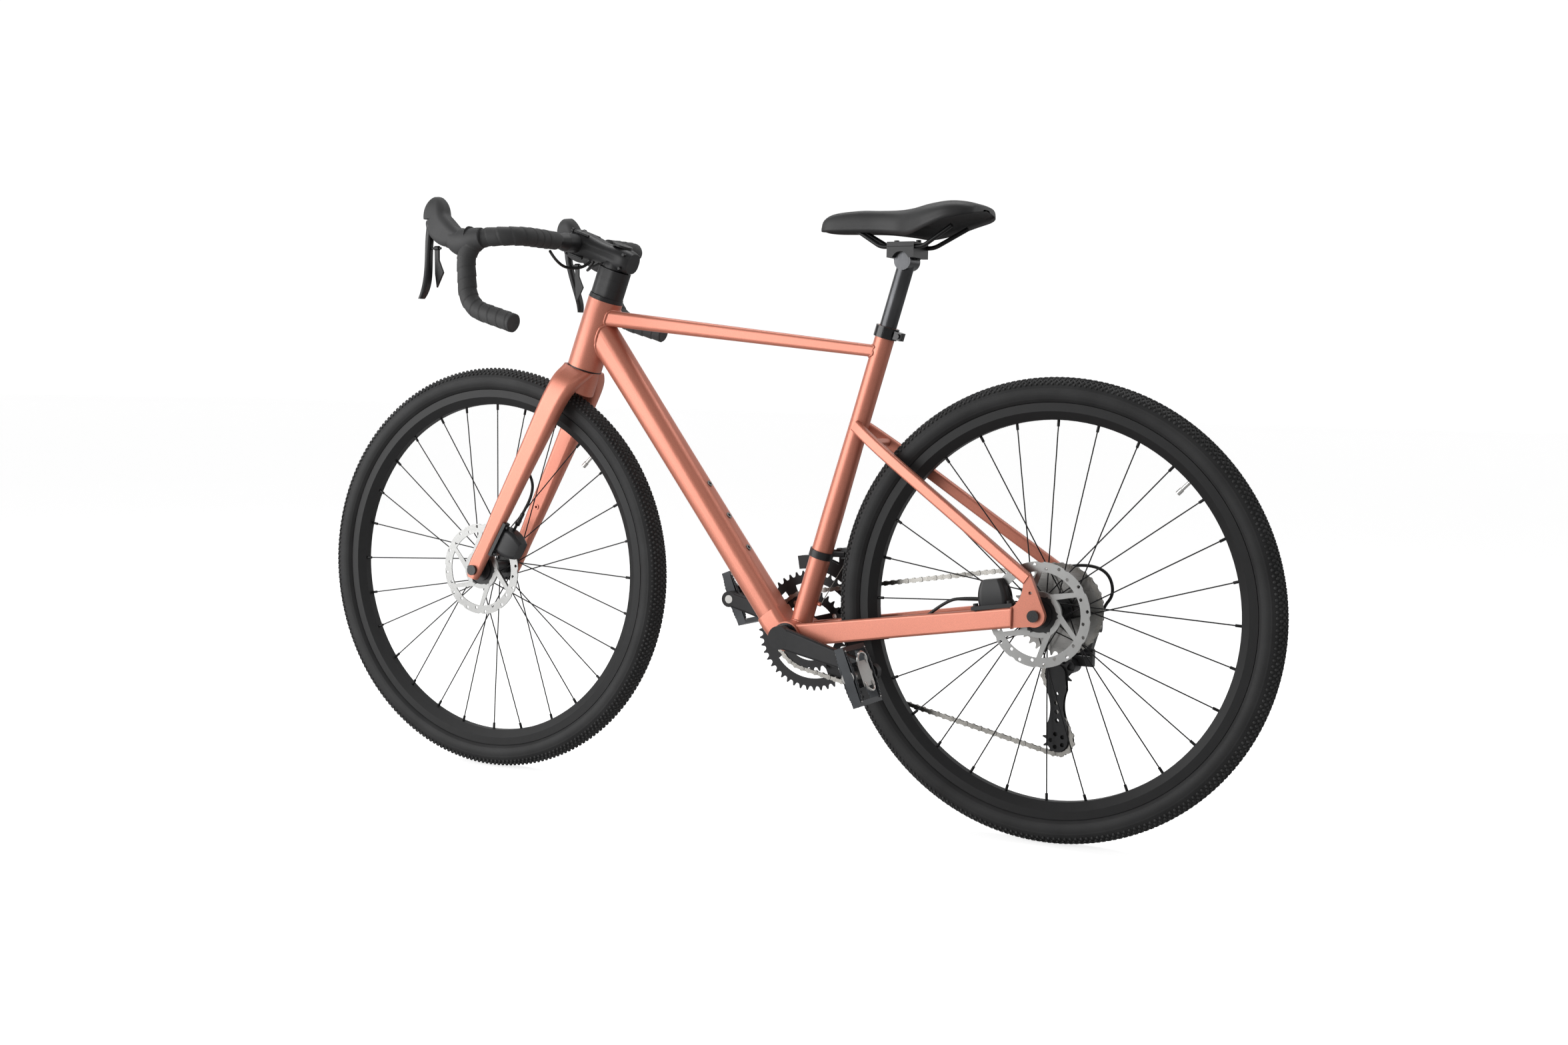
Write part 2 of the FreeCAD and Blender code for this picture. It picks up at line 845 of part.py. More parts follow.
boss_inserts = []
boss_holes = []
for i in range(int(size.boss_count)):
    surface = down_surface(size.boss_first + i * size.boss_pitch)
    deep = surface - down_rise * size.boss_depth
    lip = surface + down_rise * size.boss_height
    seat = surface + down_rise * size.fit_gap * 2
    insert = rod(deep, lip, size.boss_barrel_radius).fuse(rod(seat, lip, size.boss_radius))
    thread = rod(deep - down_rise, lip + down_rise, size.boss_thread_radius)
    boss_inserts.append(insert.removeSplitter().cut(thread))
    boss_holes.append(rod(deep - down_rise, lip, size.boss_barrel_radius + size.fit_gap))
    print("bottle boss", lip, "axis", down_rise)
shaped("down_tube", biggest(down_outer.cut(down_inner).cut([head_outer] + boss_holes)))
shaped("bottle_bosses", boss_inserts)


# Chainstays, seatstays, bridge and dropouts

def hull(first, first_radius, last, last_radius, normal=SIDE):
    """An outline round two circles and their common tangents."""
    gap = last - first
    along = Vector(gap).normalize()
    side = normal.cross(along)
    lean = math.acos((first_radius - last_radius) / gap.Length)
    upper = along * math.cos(lean) + side * math.sin(lean)
    lower = along * math.cos(lean) - side * math.sin(lean)
    return Part.Wire([
        Part.Arc(first + upper * first_radius, first - along * first_radius,
                 first + lower * first_radius).toShape(),
        Part.makeLine(first + lower * first_radius, last + lower * last_radius),
        Part.Arc(last + lower * last_radius, last + along * last_radius,
                 last + upper * last_radius).toShape(),
        Part.makeLine(last + upper * last_radius, first + upper * first_radius),
    ])


dropout_middle = size.dropout_inside + size.dropout_thickness / 2
dropout_outside = size.dropout_inside + size.dropout_thickness
stay_front = crank_axle - AHEAD * size.chainstay_start
stay_rear = rear_axle + AHEAD * size.dropout_front - UP * size.chainstay_rear_drop
pinch_share = (stay_front.x - rear_axle.x - size.tyre_radius) / (stay_front.x - stay_rear.x)


def chainstay_station(share, spread):
    centre = between(stay_front, stay_rear, share) + SIDE * spread
    width = between(size.chainstay_width, size.chainstay_rear_width, share)
    height = between(size.chainstay_front_height, size.chainstay_rear_height, share)
    return centre, AHEAD * -1, width, height


chainstay_stations = [chainstay_station(0, size.chainstay_front_spread),
                      chainstay_station(pinch_share, size.chainstay_pinch_spread)]
for share, spread_share in CHAINSTAY_SPREAD_SHARES:
    spread = between(size.chainstay_pinch_spread, dropout_middle, spread_share)
    chainstay_stations.append(chainstay_station(share, spread))
chainstay_stations.append(chainstay_station(1, dropout_middle))
chainstay_outer = loft(chainstay_stations, BOX_ROUND_SHARE)
chainstay_tube = chainstay_outer.cut(loft(chainstay_stations, BOX_ROUND_SHARE, size.tube_wall))

seatstay_top = crank_axle + seat_up * size.seatstay_join
seatstay_end = rear_axle + AHEAD * size.dropout_top_forward + UP * size.dropout_top_height
seatstay_along = (seatstay_end - seatstay_top).normalize()
seatstay_square = SIDE.cross(seatstay_along)
SEATSTAY_TOP_SHARES = ((0.0, 0.0), (0.5, 0.6), (1.0, 1.0))
SEATSTAY_LOW_SHARES = ((0.5, 0.5), (1.0, 1.0))


def seatstay_station(share, spread):
    centre = between(seatstay_top, seatstay_end, share) + SIDE * spread
    return centre, seatstay_along, size.seatstay_width, size.seatstay_height


seatstay_stations = []
for share, spread_share in SEATSTAY_TOP_SHARES:
    spread = between(size.seatstay_top_spread, size.seatstay_pinch_spread, spread_share)
    seatstay_stations.append(seatstay_station(share * SEATSTAY_PINCH_SHARE, spread))
for share, spread_share in SEATSTAY_LOW_SHARES:
    spread = between(size.seatstay_pinch_spread, dropout_middle, spread_share)
    seatstay_stations.append(seatstay_station(between(SEATSTAY_PINCH_SHARE, 1, share), spread))
seatstay_outer = loft(seatstay_stations, BOX_ROUND_SHARE)
seatstay_inner = loft(seatstay_stations, BOX_ROUND_SHARE, size.tube_wall)
seatstay = biggest(seatstay_outer.cut(seatstay_inner).cut(seat_outer))
bridge_centre = between(seatstay_top, seatstay_end, BRIDGE_SHARE)
bridge = across(bridge_centre, size.bridge_radius, -dropout_middle, dropout_middle)
bridge = min(bridge.cut([seatstay_outer, mirrored(seatstay_outer)]).Solids,
             key=lambda solid: abs(solid.CenterOfMass.y))
shaped("seatstays", [seatstay, mirrored(seatstay), bridge])

stay_half = size.chainstay_rear_height / 2
front_low = stay_rear - UP * stay_half
front_high = stay_rear + UP * stay_half
front_top = seatstay_end - seatstay_square * size.seatstay_height / 2
rear_top = seatstay_end + seatstay_square * size.seatstay_height / 2
hollow = (front_high + front_top) / 2
hollow = hollow + (rear_axle - hollow).normalize() * size.dropout_hollow


def round_axle(degrees):
    """A point of the dropout's rounded end."""
    turn = math.radians(degrees)
    return rear_axle + (AHEAD * math.cos(turn) + UP * math.sin(turn)) * size.dropout_round


round_back = round_axle(size.dropout_back_angle)
round_middle = round_axle((size.dropout_back_angle + size.dropout_under_angle) / 2)
round_under = round_axle(size.dropout_under_angle)
dropout_outline = Part.Wire([
    Part.makeLine(front_low, front_high),
    Part.Arc(front_high, hollow, front_top).toShape(),
    Part.makeLine(front_top, rear_top),
    Part.makeLine(rear_top, round_back),
    Part.Arc(round_back, round_middle, round_under).toShape(),
    Part.makeLine(round_under, front_low),
])
eyelet = rear_axle + AHEAD * size.eyelet_forward + UP * size.eyelet_height
hanger = rear_axle - AHEAD * size.hanger_back - UP * size.hanger_drop
over = size.cut_overrun
plate_cuts = []
for place, radius in ((rear_axle, size.axle_radius + size.fit_gap), (eyelet, size.eyelet_radius),
                      (hanger, size.hanger_bolt_radius + size.fit_gap)):
    plate_cuts.append(across(place, radius, -dropout_outside - over, dropout_outside + over))
plate = flat(dropout_outline, size.dropout_inside, dropout_outside)
hanger_plate = flat(hull(rear_axle, size.hanger_root_round, hanger, size.hanger_round),
                    -dropout_outside, -size.dropout_inside)
right_plate = mirrored(plate).fuse(hanger_plate).removeSplitter()
shaped("dropouts", [plate.cut(plate_cuts[:2]), right_plate.cut(plate_cuts)])

rear_axle_bar = across(rear_axle, size.axle_radius, -dropout_outside, dropout_outside)
rear_axle_head = across(rear_axle, size.axle_head_radius, dropout_outside + size.fit_gap,
                        dropout_outside + size.axle_head)
rear_axle_neck = across(rear_axle, size.axle_radius, dropout_outside,
                        dropout_outside + size.axle_head)
shaped("rear_axle", rear_axle_bar.fuse([rear_axle_neck, rear_axle_head]).removeSplitter())


# Bearings that the frame holds: headset, upper and lower, and the bottom bracket cups

def headset_bearing(low, bore):
    high = low + size.bearing_height
    race = rod(steered(0, low), steered(0, high), size.head_tube_bore - size.fit_gap)
    return race.cut(rod(steered(0, low - over), steered(0, high + over), bore + 2 * size.fit_gap))


bearings = [headset_bearing(head_low, size.steerer_base_radius),
            headset_bearing(head_high - size.bearing_height, size.steerer_radius)]
for side, sign in SIDES:
    bore = size.spindle_radius + 2 * size.fit_gap
    inner = sign * (shell_half - size.cup_depth)
    cup = washer(crank_axle, size.shell_bore - size.fit_gap, bore, inner, sign * shell_half)
    lip = washer(crank_axle, size.cup_flange_radius, bore, sign * shell_half,
                 sign * (shell_half + size.cup_flange))
    bearings.append(cup.fuse(lip).removeSplitter())
shaped("frame_bearings", bearings)


# Seat collar, seatpost, saddle clamp, rails and saddle

def at_seat(shape, along):
    """Sets a shape, made about its own Z axis, on the seat tube."""
    shape.Placement = FreeCAD.Placement(crank_axle + seat_up * along, turn_to(seat_up, seat_ahead))
    return shape


collar_low = size.seat_tube_length - size.collar_height
collar_bore = size.seat_tube_high_radius + size.fit_gap
lug_half = size.collar_lug_width / 2
lug_back = size.seat_tube_high_radius + size.collar_lug_length
collar = Part.makeCylinder(size.collar_radius, size.collar_height)
collar = collar.fuse(block(Vector(-lug_back, -lug_half, size.collar_height * COLLAR_LUG_SHARES[0]),
                           Vector(0, lug_half, size.collar_height * COLLAR_LUG_SHARES[1])))
collar = collar.cut(Part.makeCylinder(collar_bore, size.collar_height))
collar = collar.cut(block(Vector(-lug_back, -size.collar_slot / 2, 0),
                          Vector(0, size.collar_slot / 2, size.collar_height)))
bolt_at = Vector(-(lug_back + size.collar_radius) / 2, 0, size.collar_height / 2)
bolt_reach = SIDE * (lug_half + size.bolt_head_height)
collar = collar.cut(rod(bolt_at - bolt_reach, bolt_at + bolt_reach,
                        size.collar_bolt_radius + size.fit_gap))
collar_bolt = rod(bolt_at - SIDE * lug_half, bolt_at + bolt_reach, size.collar_bolt_radius)
collar_bolt = collar_bolt.fuse(rod(bolt_at + SIDE * lug_half, bolt_at + bolt_reach,
                                   size.bolt_head_radius)).removeSplitter()
shaped("seat_collar", [at_seat(collar, collar_low), at_seat(collar_bolt, collar_low)])

post_low = size.seat_tube_length - size.post_insertion
post_high = size.seat_tube_length + size.post_rise
post_head = crank_axle + seat_up * post_high
post_bar = rod(crank_axle + seat_up * post_low, post_head, size.post_radius)
post_bore = rod(crank_axle + seat_up * (post_low - over),
                post_head - seat_up * 2 * size.post_head_radius, size.post_radius - size.post_wall)
post_cap = across(post_head, size.post_head_radius, -size.post_head_width / 2,
                  size.post_head_width / 2)
shaped("seatpost", post_bar.cut(post_bore).fuse(post_cap).removeSplitter())

half_clamp = Vector(size.clamp_length / 2, size.clamp_width / 2, 0)
rail_z = UP * size.rail_height
rail_bores = []
for side, sign in SIDES:
    middle = post_head + rail_z + SIDE * sign * size.rail_half_gauge
    rail_bores.append(rod(middle - AHEAD * size.clamp_length, middle + AHEAD * size.clamp_length,
                          size.rail_radius + size.fit_gap))
clamp_bolts = []
bolt_bores = []
nut_low = UP * size.clamp_base / 2
clamp_top = rail_z + UP * (size.joint_gap + size.clamp_plate)
for ahead in (1, -1):
    foot = post_head + AHEAD * ahead * size.clamp_bolt_span
    shank = rod(foot + nut_low, foot + clamp_top + UP * size.bolt_head_height, size.clamp_bolt_radius)
    head = rod(foot + clamp_top, foot + clamp_top + UP * size.bolt_head_height, size.bolt_head_radius)
    nut = rod(foot + nut_low, foot + UP * size.clamp_base, size.bolt_head_radius)
    clamp_bolts.append(shank.fuse([head, nut]).removeSplitter())
    bolt_bores.append(rod(foot, foot + clamp_top + UP * over, size.clamp_bolt_radius + size.fit_gap))
cradle_hole = across(post_head, size.post_head_radius + size.joint_gap, -size.clamp_width, size.clamp_width)
cradle = block(post_head - half_clamp + UP * size.clamp_base,
               post_head + half_clamp + rail_z - UP * size.joint_gap)
cradle = cradle.cut([cradle_hole] + rail_bores + bolt_bores)
clamp_cap = block(post_head - half_clamp + rail_z + UP * size.joint_gap,
                  post_head + half_clamp + clamp_top).cut(rail_bores + bolt_bores)
shaped("saddle_clamp", [cradle, clamp_cap] + clamp_bolts)

saddle_rails = []
rail_sleeves = []
for side, sign in SIDES:
    level = post_head + rail_z
    middle = level + SIDE * sign * size.rail_half_gauge
    nose = level + SIDE * sign * size.rail_nose_half_gauge
    tail = level + SIDE * sign * size.rail_tail_half_gauge
    rail_points = (
        nose + AHEAD * size.rail_nose_reach + UP * size.rail_nose_rise,
        middle + AHEAD * size.rail_flat,
        middle - AHEAD * size.rail_flat,
        tail - AHEAD * size.rail_tail_reach + UP * size.rail_tail_rise,
    )
    rail_path = route(rail_points, (size.rail_bend, size.rail_bend))
    saddle_rails.append(pipe(rail_path, size.rail_radius))
    rail_sleeves.append(pipe(rail_path, size.rail_radius + 2 * size.fit_gap))
shaped("saddle_rails", saddle_rails)

# Saddle stations from nose to tail: place, then width, rise and depth as shares
SADDLE_SHARES = (
    (0.0, 0.10, -0.9, 0.28), (0.05, 0.22, -0.3, 0.56), (0.25, 0.29, 0.0, 0.66),
    (0.5, 0.46, -0.1, 0.76), (0.72, 0.86, 0.3, 0.98), (0.88, 1.0, 0.8, 0.94),
    (0.97, 0.92, 1.0, 0.62), (1.0, 0.74, 0.95, 0.34),
)
SADDLE_CROWN_SHARE = 0.085
SADDLE_SIDE_SHARE = 0.88
SADDLE_HOLLOW_SHARE = 0.42
SADDLE_BULGE_SHARES = (0.25, 0.55)


def saddle_section(share, width_share, rise_share, depth_share):
    """Crowned top, sides drawn in towards the lower edge, hollow underside."""
    middle = post_head + AHEAD * (size.saddle_nose_ahead - share * size.saddle_length)
    top = size.saddle_top + rise_share * size.saddle_tail_rise
    half = width_share * size.saddle_width / 2
    low = top - depth_share * size.saddle_depth
    edge = top - 2 * half * SADDLE_CROWN_SHARE - size.rail_radius
    foot = half * SADDLE_SIDE_SHARE
    arch = between(low, edge, SADDLE_HOLLOW_SHARE)

    def at(side, height):
        return middle + SIDE * side + UP * height

    bulge = between(half, foot, SADDLE_BULGE_SHARES[0])
    waist = between(edge, low, SADDLE_BULGE_SHARES[1])
    return Part.Wire([
        Part.Arc(at(half, edge), at(0, top), at(-half, edge)).toShape(),
        Part.Arc(at(-half, edge), at(-bulge, waist), at(-foot, low)).toShape(),
        Part.Arc(at(-foot, low), at(0, arch), at(foot, low)).toShape(),
        Part.Arc(at(foot, low), at(bulge, waist), at(half, edge)).toShape(),
    ])


saddle_form = Part.makeLoft([saddle_section(*row) for row in SADDLE_SHARES], True)
shaped("saddle", biggest(saddle_form.cut(rail_sleeves)))


# Fork, made about the steering axis: X ahead, Z along the steerer

def steering(shape):
    shape.Placement = STEERING
    return shape


def local(ahead, side, along):
    return Vector(ahead, side, along)


DOWN = Vector(0, 0, -1)
axle_place = local(size.fork_rake, 0, 0)
crown = size.axle_to_crown
crown_depth = 2 * size.head_tube_radius - size.crown_gap
crown_side = size.head_tube_radius / 2
tip_side = size.fork_inside + size.fork_blade_tip_width / 2

# Blade stations: along, side and forward, then width and depth, all as shares
FORK_SHARES = (
    (1.0, 0.0, 0.0, 1.055, 1.25), (0.965, 0.27, 0.035, 1.33, 1.2), (0.93, 0.495, 0.08, 1.22, 1.13),
    (0.895, 0.636, 0.115, 1.07, 1.05), (0.85, 0.723, 0.165, 1.0, 1.0), (0.75, 0.777, 0.265, 0.95, 0.957),
    (0.5, 0.86, 0.51, 0.8, 0.826), (0.25, 0.935, 0.76, 0.65, 0.717), (0.1, 0.98, 0.91, 0.555, 0.64),
    (0.0, 1.0, 1.0, 0.52, 0.61), (-0.038, 1.0, 1.0, 0.52, 0.435),
)


def blade_station(along, side, forward, width_share, depth_share):
    centre = local(forward * size.fork_rake, between(crown_side, tip_side, side), along * crown)
    return centre, DOWN, size.fork_blade_top_width * width_share, size.fork_blade_top_depth * depth_share


blade_stations = [blade_station(*row) for row in FORK_SHARES]
blade = loft(blade_stations, SOFT_ROUND_SHARE)
blade_hollow = loft(blade_stations[4:9], SOFT_ROUND_SHARE, size.fork_wall)

FORK_BOSS_SIDE_SHARE = 0.9
boss_share = size.fork_boss_height / crown
boss_place = blade_station(boss_share, FORK_BOSS_SIDE_SHARE, 1 - boss_share, 1, 1)[0]
boss_ray = Part.makeLine(boss_place, local(boss_place.x, 0, boss_place.z))
boss_face = min((v.Point for v in boss_ray.common(blade).Vertexes), key=lambda p: p.y)
boss_lip = boss_face - SIDE * size.fork_boss_lift
boss_deep = boss_face + SIDE * size.fork_boss_depth
fork_boss = rod(boss_lip, boss_deep, size.fork_boss_radius)
fork_boss_hole = rod(boss_lip - SIDE, boss_deep - SIDE * 2, size.boss_thread_radius)
blade = blade.cut(blade_hollow).fuse(fork_boss).cut(fork_boss_hole)

steerer_top = stem_high - size.top_cap_height
fork_form = blade.fuse([
    mirrored(blade),
    rod(local(0, 0, crown - size.fork_shoulder_drop), local(0, 0, crown), crown_depth / 2),
    rod(local(0, 0, crown), local(0, 0, crown + size.steerer_base_height), size.steerer_base_radius),
    rod(local(0, 0, crown), local(0, 0, steerer_top), size.steerer_radius),
])
tyre_room = across(axle_place, size.tyre_radius + size.fork_tyre_gap, -size.fork_tyre_half_width,
                   size.fork_tyre_half_width)
axle_reach = size.fork_inside + size.fork_blade_tip_width
axle_hole = across(axle_place, size.axle_radius + size.fit_gap, -axle_reach - over, axle_reach + over)
steerer_hole = rod(local(0, 0, crown - size.fork_shoulder_drop), local(0, 0, steerer_top + over),
                   size.steerer_bore)

front_axle_bar = across(front_axle, size.axle_radius, -axle_reach, axle_reach + size.axle_head)
front_axle_head = across(front_axle, size.axle_head_radius, axle_reach + size.joint_gap,
                         axle_reach + size.axle_head)
shaped("front_axle", front_axle_bar.fuse(front_axle_head).removeSplitter())

# Crown race, bearing cover, spacers and top cap, stacked on the steerer


def oval(low, high, length, width):
    """A spacer: an oval slab round the steerer."""
    rounding = width / 2
    reach = AHEAD * (length / 2 - rounding)
    outline = Part.Wire([
        Part.Arc(reach + SIDE * rounding, reach + AHEAD * rounding, reach - SIDE * rounding).toShape(),
        Part.makeLine(reach - SIDE * rounding, SIDE * -rounding - reach),
        Part.Arc(SIDE * -rounding - reach, AHEAD * -rounding - reach, SIDE * rounding - reach).toShape(),
        Part.makeLine(SIDE * rounding - reach, reach + SIDE * rounding),
    ])
    face = Part.Face(outline)
    face.translate(UP * low)
    return face.extrude(UP * (high - low))


steerer_clear = rod(local(0, 0, crown), local(0, 0, stem_high), size.steerer_radius + size.fit_gap)
race = rod(local(0, 0, crown + size.joint_gap), local(0, 0, head_low - size.joint_gap),
           size.head_tube_radius)
race = race.cut(rod(local(0, 0, crown), local(0, 0, head_low), size.steerer_base_radius + size.fit_gap))
cover_top = head_high + size.joint_gap + size.cover_height - 2 * size.fit_gap
stack = [race]
stack.append(Part.makeCone(size.head_tube_radius, size.spacer_length / 2, size.cover_height - 2 * size.fit_gap,
                           local(0, 0, head_high + size.joint_gap), UP).cut(steerer_clear))
for i in range(int(size.spacer_count)):
    low = spacer_low + i * size.spacer_height
    spacer = oval(low, low + size.spacer_height - 2 * size.fit_gap, size.spacer_length, size.spacer_width)
    stack.append(spacer.cut(steerer_clear))
cap_low = stem_high + size.joint_gap
cap = rod(local(0, 0, cap_low), local(0, 0, cap_low + size.top_cap_height), size.top_cap_radius)
cap_bolt = rod(local(0, 0, cap_low), local(0, 0, cap_low + size.top_cap_height), size.bolt_head_radius)
stack += [cap.cut(cap_bolt), cap_bolt.cut(rod(local(0, 0, cap_low + size.top_cap_height / 2),
          local(0, 0, cap_low + over), size.hex_socket_radius))]
shaped("headset_spacers", [steering(piece) for piece in stack])


# Stem, face plate and bolts

# Stem stations: place from its back (-1) over the steerer (0) to the bar (1), width and height
STEM_SHARES = (
    (-1.0, 0.78, 0.86), (-0.75, 0.94, 0.98), (0.0, 1.0, 1.0), (0.55, 0.87, 0.95), (0.78, 1.0, 1.1),
)
FACEPLATE_SHARES = ((0.6, 0.97, 0.96), (1.0, 0.8, 0.66))
bar_place = local(size.stem_reach, 0, stem_mid - size.stem_drop)
stem_axis = local(0, 0, stem_mid)


def stem_station(place, width_share, height_share):
    centre = between(stem_axis, bar_place, place) if place > 0 else stem_axis + AHEAD * place * size.stem_back
    return centre, AHEAD, size.stem_width * width_share, size.stem_height * height_share


stem_stations = [stem_station(*row) for row in STEM_SHARES]
stem_stations.append((bar_place - AHEAD * size.faceplate_gap / 2, AHEAD, size.stem_clamp_width,
                      size.stem_clamp_height))
bar_hole = across(bar_place, size.bar_clamp_radius + size.fit_gap, -size.stem_clamp_width, size.stem_clamp_width)
bolt_clear = []
stem_bolts = []
plate_front = bar_place.x + size.faceplate_depth
for rise in (1, -1):
    for side, sign in SIDES:
        seat = local(plate_front - size.bolt_head_height * 2, sign * size.faceplate_bolt_spread,
                     bar_place.z + rise * size.faceplate_bolt_rise)
        inner = seat - AHEAD * (size.faceplate_bolt_depth + size.faceplate_depth / 2)
        head = rod(seat, seat + AHEAD * size.bolt_head_height, size.bolt_head_radius)
        socket = rod(seat + AHEAD * size.bolt_head_height / 2, seat + AHEAD * over, size.hex_socket_radius)
        stem_bolts.append(rod(inner, seat, size.faceplate_bolt_radius).fuse(head).removeSplitter().cut(socket))
        bolt_clear.append(rod(inner - AHEAD, seat, size.faceplate_bolt_radius + size.fit_gap))
        bolt_clear.append(rod(seat, seat + AHEAD * size.faceplate_depth, size.bolt_head_radius + size.fit_gap * 2))
clamp_cross_bolts = []
for rise in (1, -1):
    middle = local(-size.pinch_bolt_back, 0, stem_mid + rise * size.pinch_bolt_gap / 2)
    half = SIDE * size.pinch_bolt_half
    clamp_cross_bolts.append(rod(middle - half, middle + half, size.faceplate_bolt_radius))
    bolt_clear.append(rod(middle - half * 2, middle + half * 2, size.faceplate_bolt_radius + size.fit_gap))
# The loft swells a little between its stations, so the faces under and over it are cut flat
for start, end in ((stem_low - over, stem_low), (stem_high, stem_high + over)):
    bolt_clear.append(rod(local(0, 0, start), local(0, 0, end), size.spacer_length / 2 + size.joint_gap))
stem_form = loft(stem_stations, SOFT_ROUND_SHARE)
shaped("stem", steering(biggest(stem_form.cut([steerer_clear, bar_hole] + bolt_clear))))
plate_stations = [(bar_place + AHEAD * size.faceplate_gap / 2, AHEAD, size.stem_clamp_width,
                   size.stem_clamp_height)]
for place_share, width_share, height_share in FACEPLATE_SHARES:
    plate_stations.append((bar_place + AHEAD * size.faceplate_depth * place_share, AHEAD,
                           size.stem_clamp_width * width_share, size.stem_clamp_height * height_share))
face_plate = biggest(loft(plate_stations, SOFT_ROUND_SHARE).cut([bar_hole] + bolt_clear))
shaped("stem_faceplate", [steering(piece) for piece in [face_plate] + stem_bolts + clamp_cross_bolts])


# Handlebar, tape and end plugs

bar_half = (
    from_bar(0, size.bar_top_half_width, 0),
    from_bar(size.bar_reach, size.bar_hook_half_width, -size.bar_hook_drop),
    from_bar(size.bar_low_reach, size.bar_low_half_width, -size.bar_low_drop),
    from_bar(-size.bar_end_back, size.bar_end_half_width, -size.bar_end_drop),
)
bar_bends = (size.bar_shoulder_bend, size.bar_hook_bend, size.bar_low_bend)


def opposite(point):
    return Vector(point.x, -point.y, point.z)


bar_points = list(reversed(bar_half)) + [opposite(point) for point in bar_half]
bar_path = route(bar_points, tuple(reversed(bar_bends)) + bar_bends)
bar_form = pipe(bar_path, size.bar_radius)
for sign in (1, -1):
    cone_start = from_bar(0, sign * size.bar_clamp_half, 0)
    cone = Part.makeCone(size.bar_clamp_radius, size.bar_radius, size.bar_cone, cone_start, SIDE * sign)
    bar_form = bar_form.fuse(cone)
bar_form = bar_form.fuse(across(bar_centre, size.bar_clamp_radius, -size.bar_clamp_half, size.bar_clamp_half))
shaped("handlebar", bar_form.cut(pipe(bar_path, size.bar_radius - size.bar_wall)))

tape_path = route((from_bar(0, size.tape_start, 0),) + bar_half, bar_bends)
tape_outer = pipe(tape_path, size.tape_radius)
tape = tape_outer.cut(pipe(tape_path, size.bar_radius + size.fit_gap))
bar_end = bar_half[-1]
end_along = (bar_end - bar_half[-2]).normalize()
plug = rod(bar_end + end_along * size.fit_gap, bar_end + end_along * size.plug_head, size.tape_radius)
plug = plug.fuse(rod(bar_end - end_along * size.plug_depth, bar_end + end_along * size.plug_head,
                     size.bar_radius - size.bar_wall - size.fit_gap)).removeSplitter()
shaped("bar_tape", [tape, mirrored(tape), plug, mirrored(plug)])


# Lever hoods, brake levers and shift paddles

# Hood stations: reach, side and rise as shares of the hood, then section and direction
HOOD_SHARES = (
    (0.0, 0.0, -0.09, 1.0, 1.0, (1, 0, 0.05)),
    (0.44, 0.17, -0.01, 0.97, 0.98, (1, 0, 0.25)),
    (0.80, 0.40, 0.22, 0.94, 1.2, (0.8, -0.1, 0.6)),
    (0.975, 0.7, 0.56, 0.94, 1.15, (0.25, -0.2, 0.95)),
    (0.99, 0.95, 0.86, 0.8, 0.82, (0, -0.2, 1)),
    (0.99, 1.0, 1.0, 0.34, 0.39, (0, -0.2, 1)),
)
LEVER_SHARES = (
    (0.0, 0.0, -0.06, 1.0, 1.08), (0.02, 0.0, 0.04, 1.0, 1.1), (0.024, 0.06, 0.19, 1.0, 1.0),
    (-0.025, 0.36, 0.55, 1.07, 0.84), (-0.065, 0.74, 0.835, 1.2, 0.75), (-0.04, 1.0, 1.0, 0.94, 0.58),
)
PADDLE_SHARES = ((-0.18, 0.0), (0.18, 0.0), (0.12, 0.65), (-0.05, 1.0), (-0.64, 0.62), (-0.2, 0.3))

lever_pivot = from_bar(size.lever_pivot_ahead, size.lever_half_width, size.lever_pivot_rise)
lever_drop = size.lever_length


def hood_station(reach, inward, rise, width_share, height_share, heading):
    centre = from_bar(between(size.hood_start, size.hood_reach, reach),
                      between(size.hood_half_width, size.horn_half_width, inward), rise * size.hood_rise)
    return centre, Vector(*heading), size.hood_width * width_share, size.hood_height * height_share


def lever_station(ahead, outward, along, width_share, height_share):
    centre = lever_pivot + AHEAD * ahead * lever_drop - UP * along * lever_drop
    centre = centre + SIDE * outward * size.lever_tip_spread
    return centre, DOWN, size.lever_width * width_share, size.lever_thickness * height_share


lever_blade = loft([lever_station(*row) for row in LEVER_SHARES], SOFT_ROUND_SHARE)
lever_pin = across(lever_pivot, size.lever_pin_radius, lever_pivot.y - size.lever_pin_half,
                   lever_pivot.y + size.lever_pin_half)
paddle_pivot = from_bar(size.paddle_pivot_ahead, size.lever_half_width + size.paddle_side,
                        -size.paddle_pivot_drop)
paddle_pin = rod(paddle_pivot - AHEAD * size.paddle_arm,
                 Vector(lever_pivot.x, paddle_pivot.y, paddle_pivot.z), size.paddle_pin_radius)
lever = lever_blade.fuse([lever_pin, paddle_pin]).removeSplitter()

slot_half = size.lever_width / 2 + size.lever_slot_gap
slot_low = Vector(lever_pivot.x - size.lever_slot_back, lever_pivot.y - slot_half,
                  lever_pivot.z - size.hood_rise)
slot_high = Vector(lever_pivot.x + size.horn_depth, lever_pivot.y + slot_half,
                   lever_pivot.z + size.lever_thickness)
pin_hole = across(lever_pivot, size.lever_pin_radius + size.fit_gap,
                  lever_pivot.y - size.lever_pin_half - size.joint_gap,
                  lever_pivot.y + size.lever_pin_half + size.joint_gap)
paddle_low = Vector(lever_pivot.x - size.paddle_slot_back, slot_low.y, slot_low.z)
paddle_high = Vector(lever_pivot.x, slot_high.y, lever_pivot.z - size.paddle_slot_drop)
hood_form = loft([hood_station(*row) for row in HOOD_SHARES], SOFT_ROUND_SHARE)
hood_socket = pipe(tape_path, size.tape_radius + 2 * size.fit_gap)
hood_cuts = [block(slot_low, slot_high), block(paddle_low, paddle_high), pin_hole, hood_socket]
hood = biggest(hood_form.cut(hood_cuts))

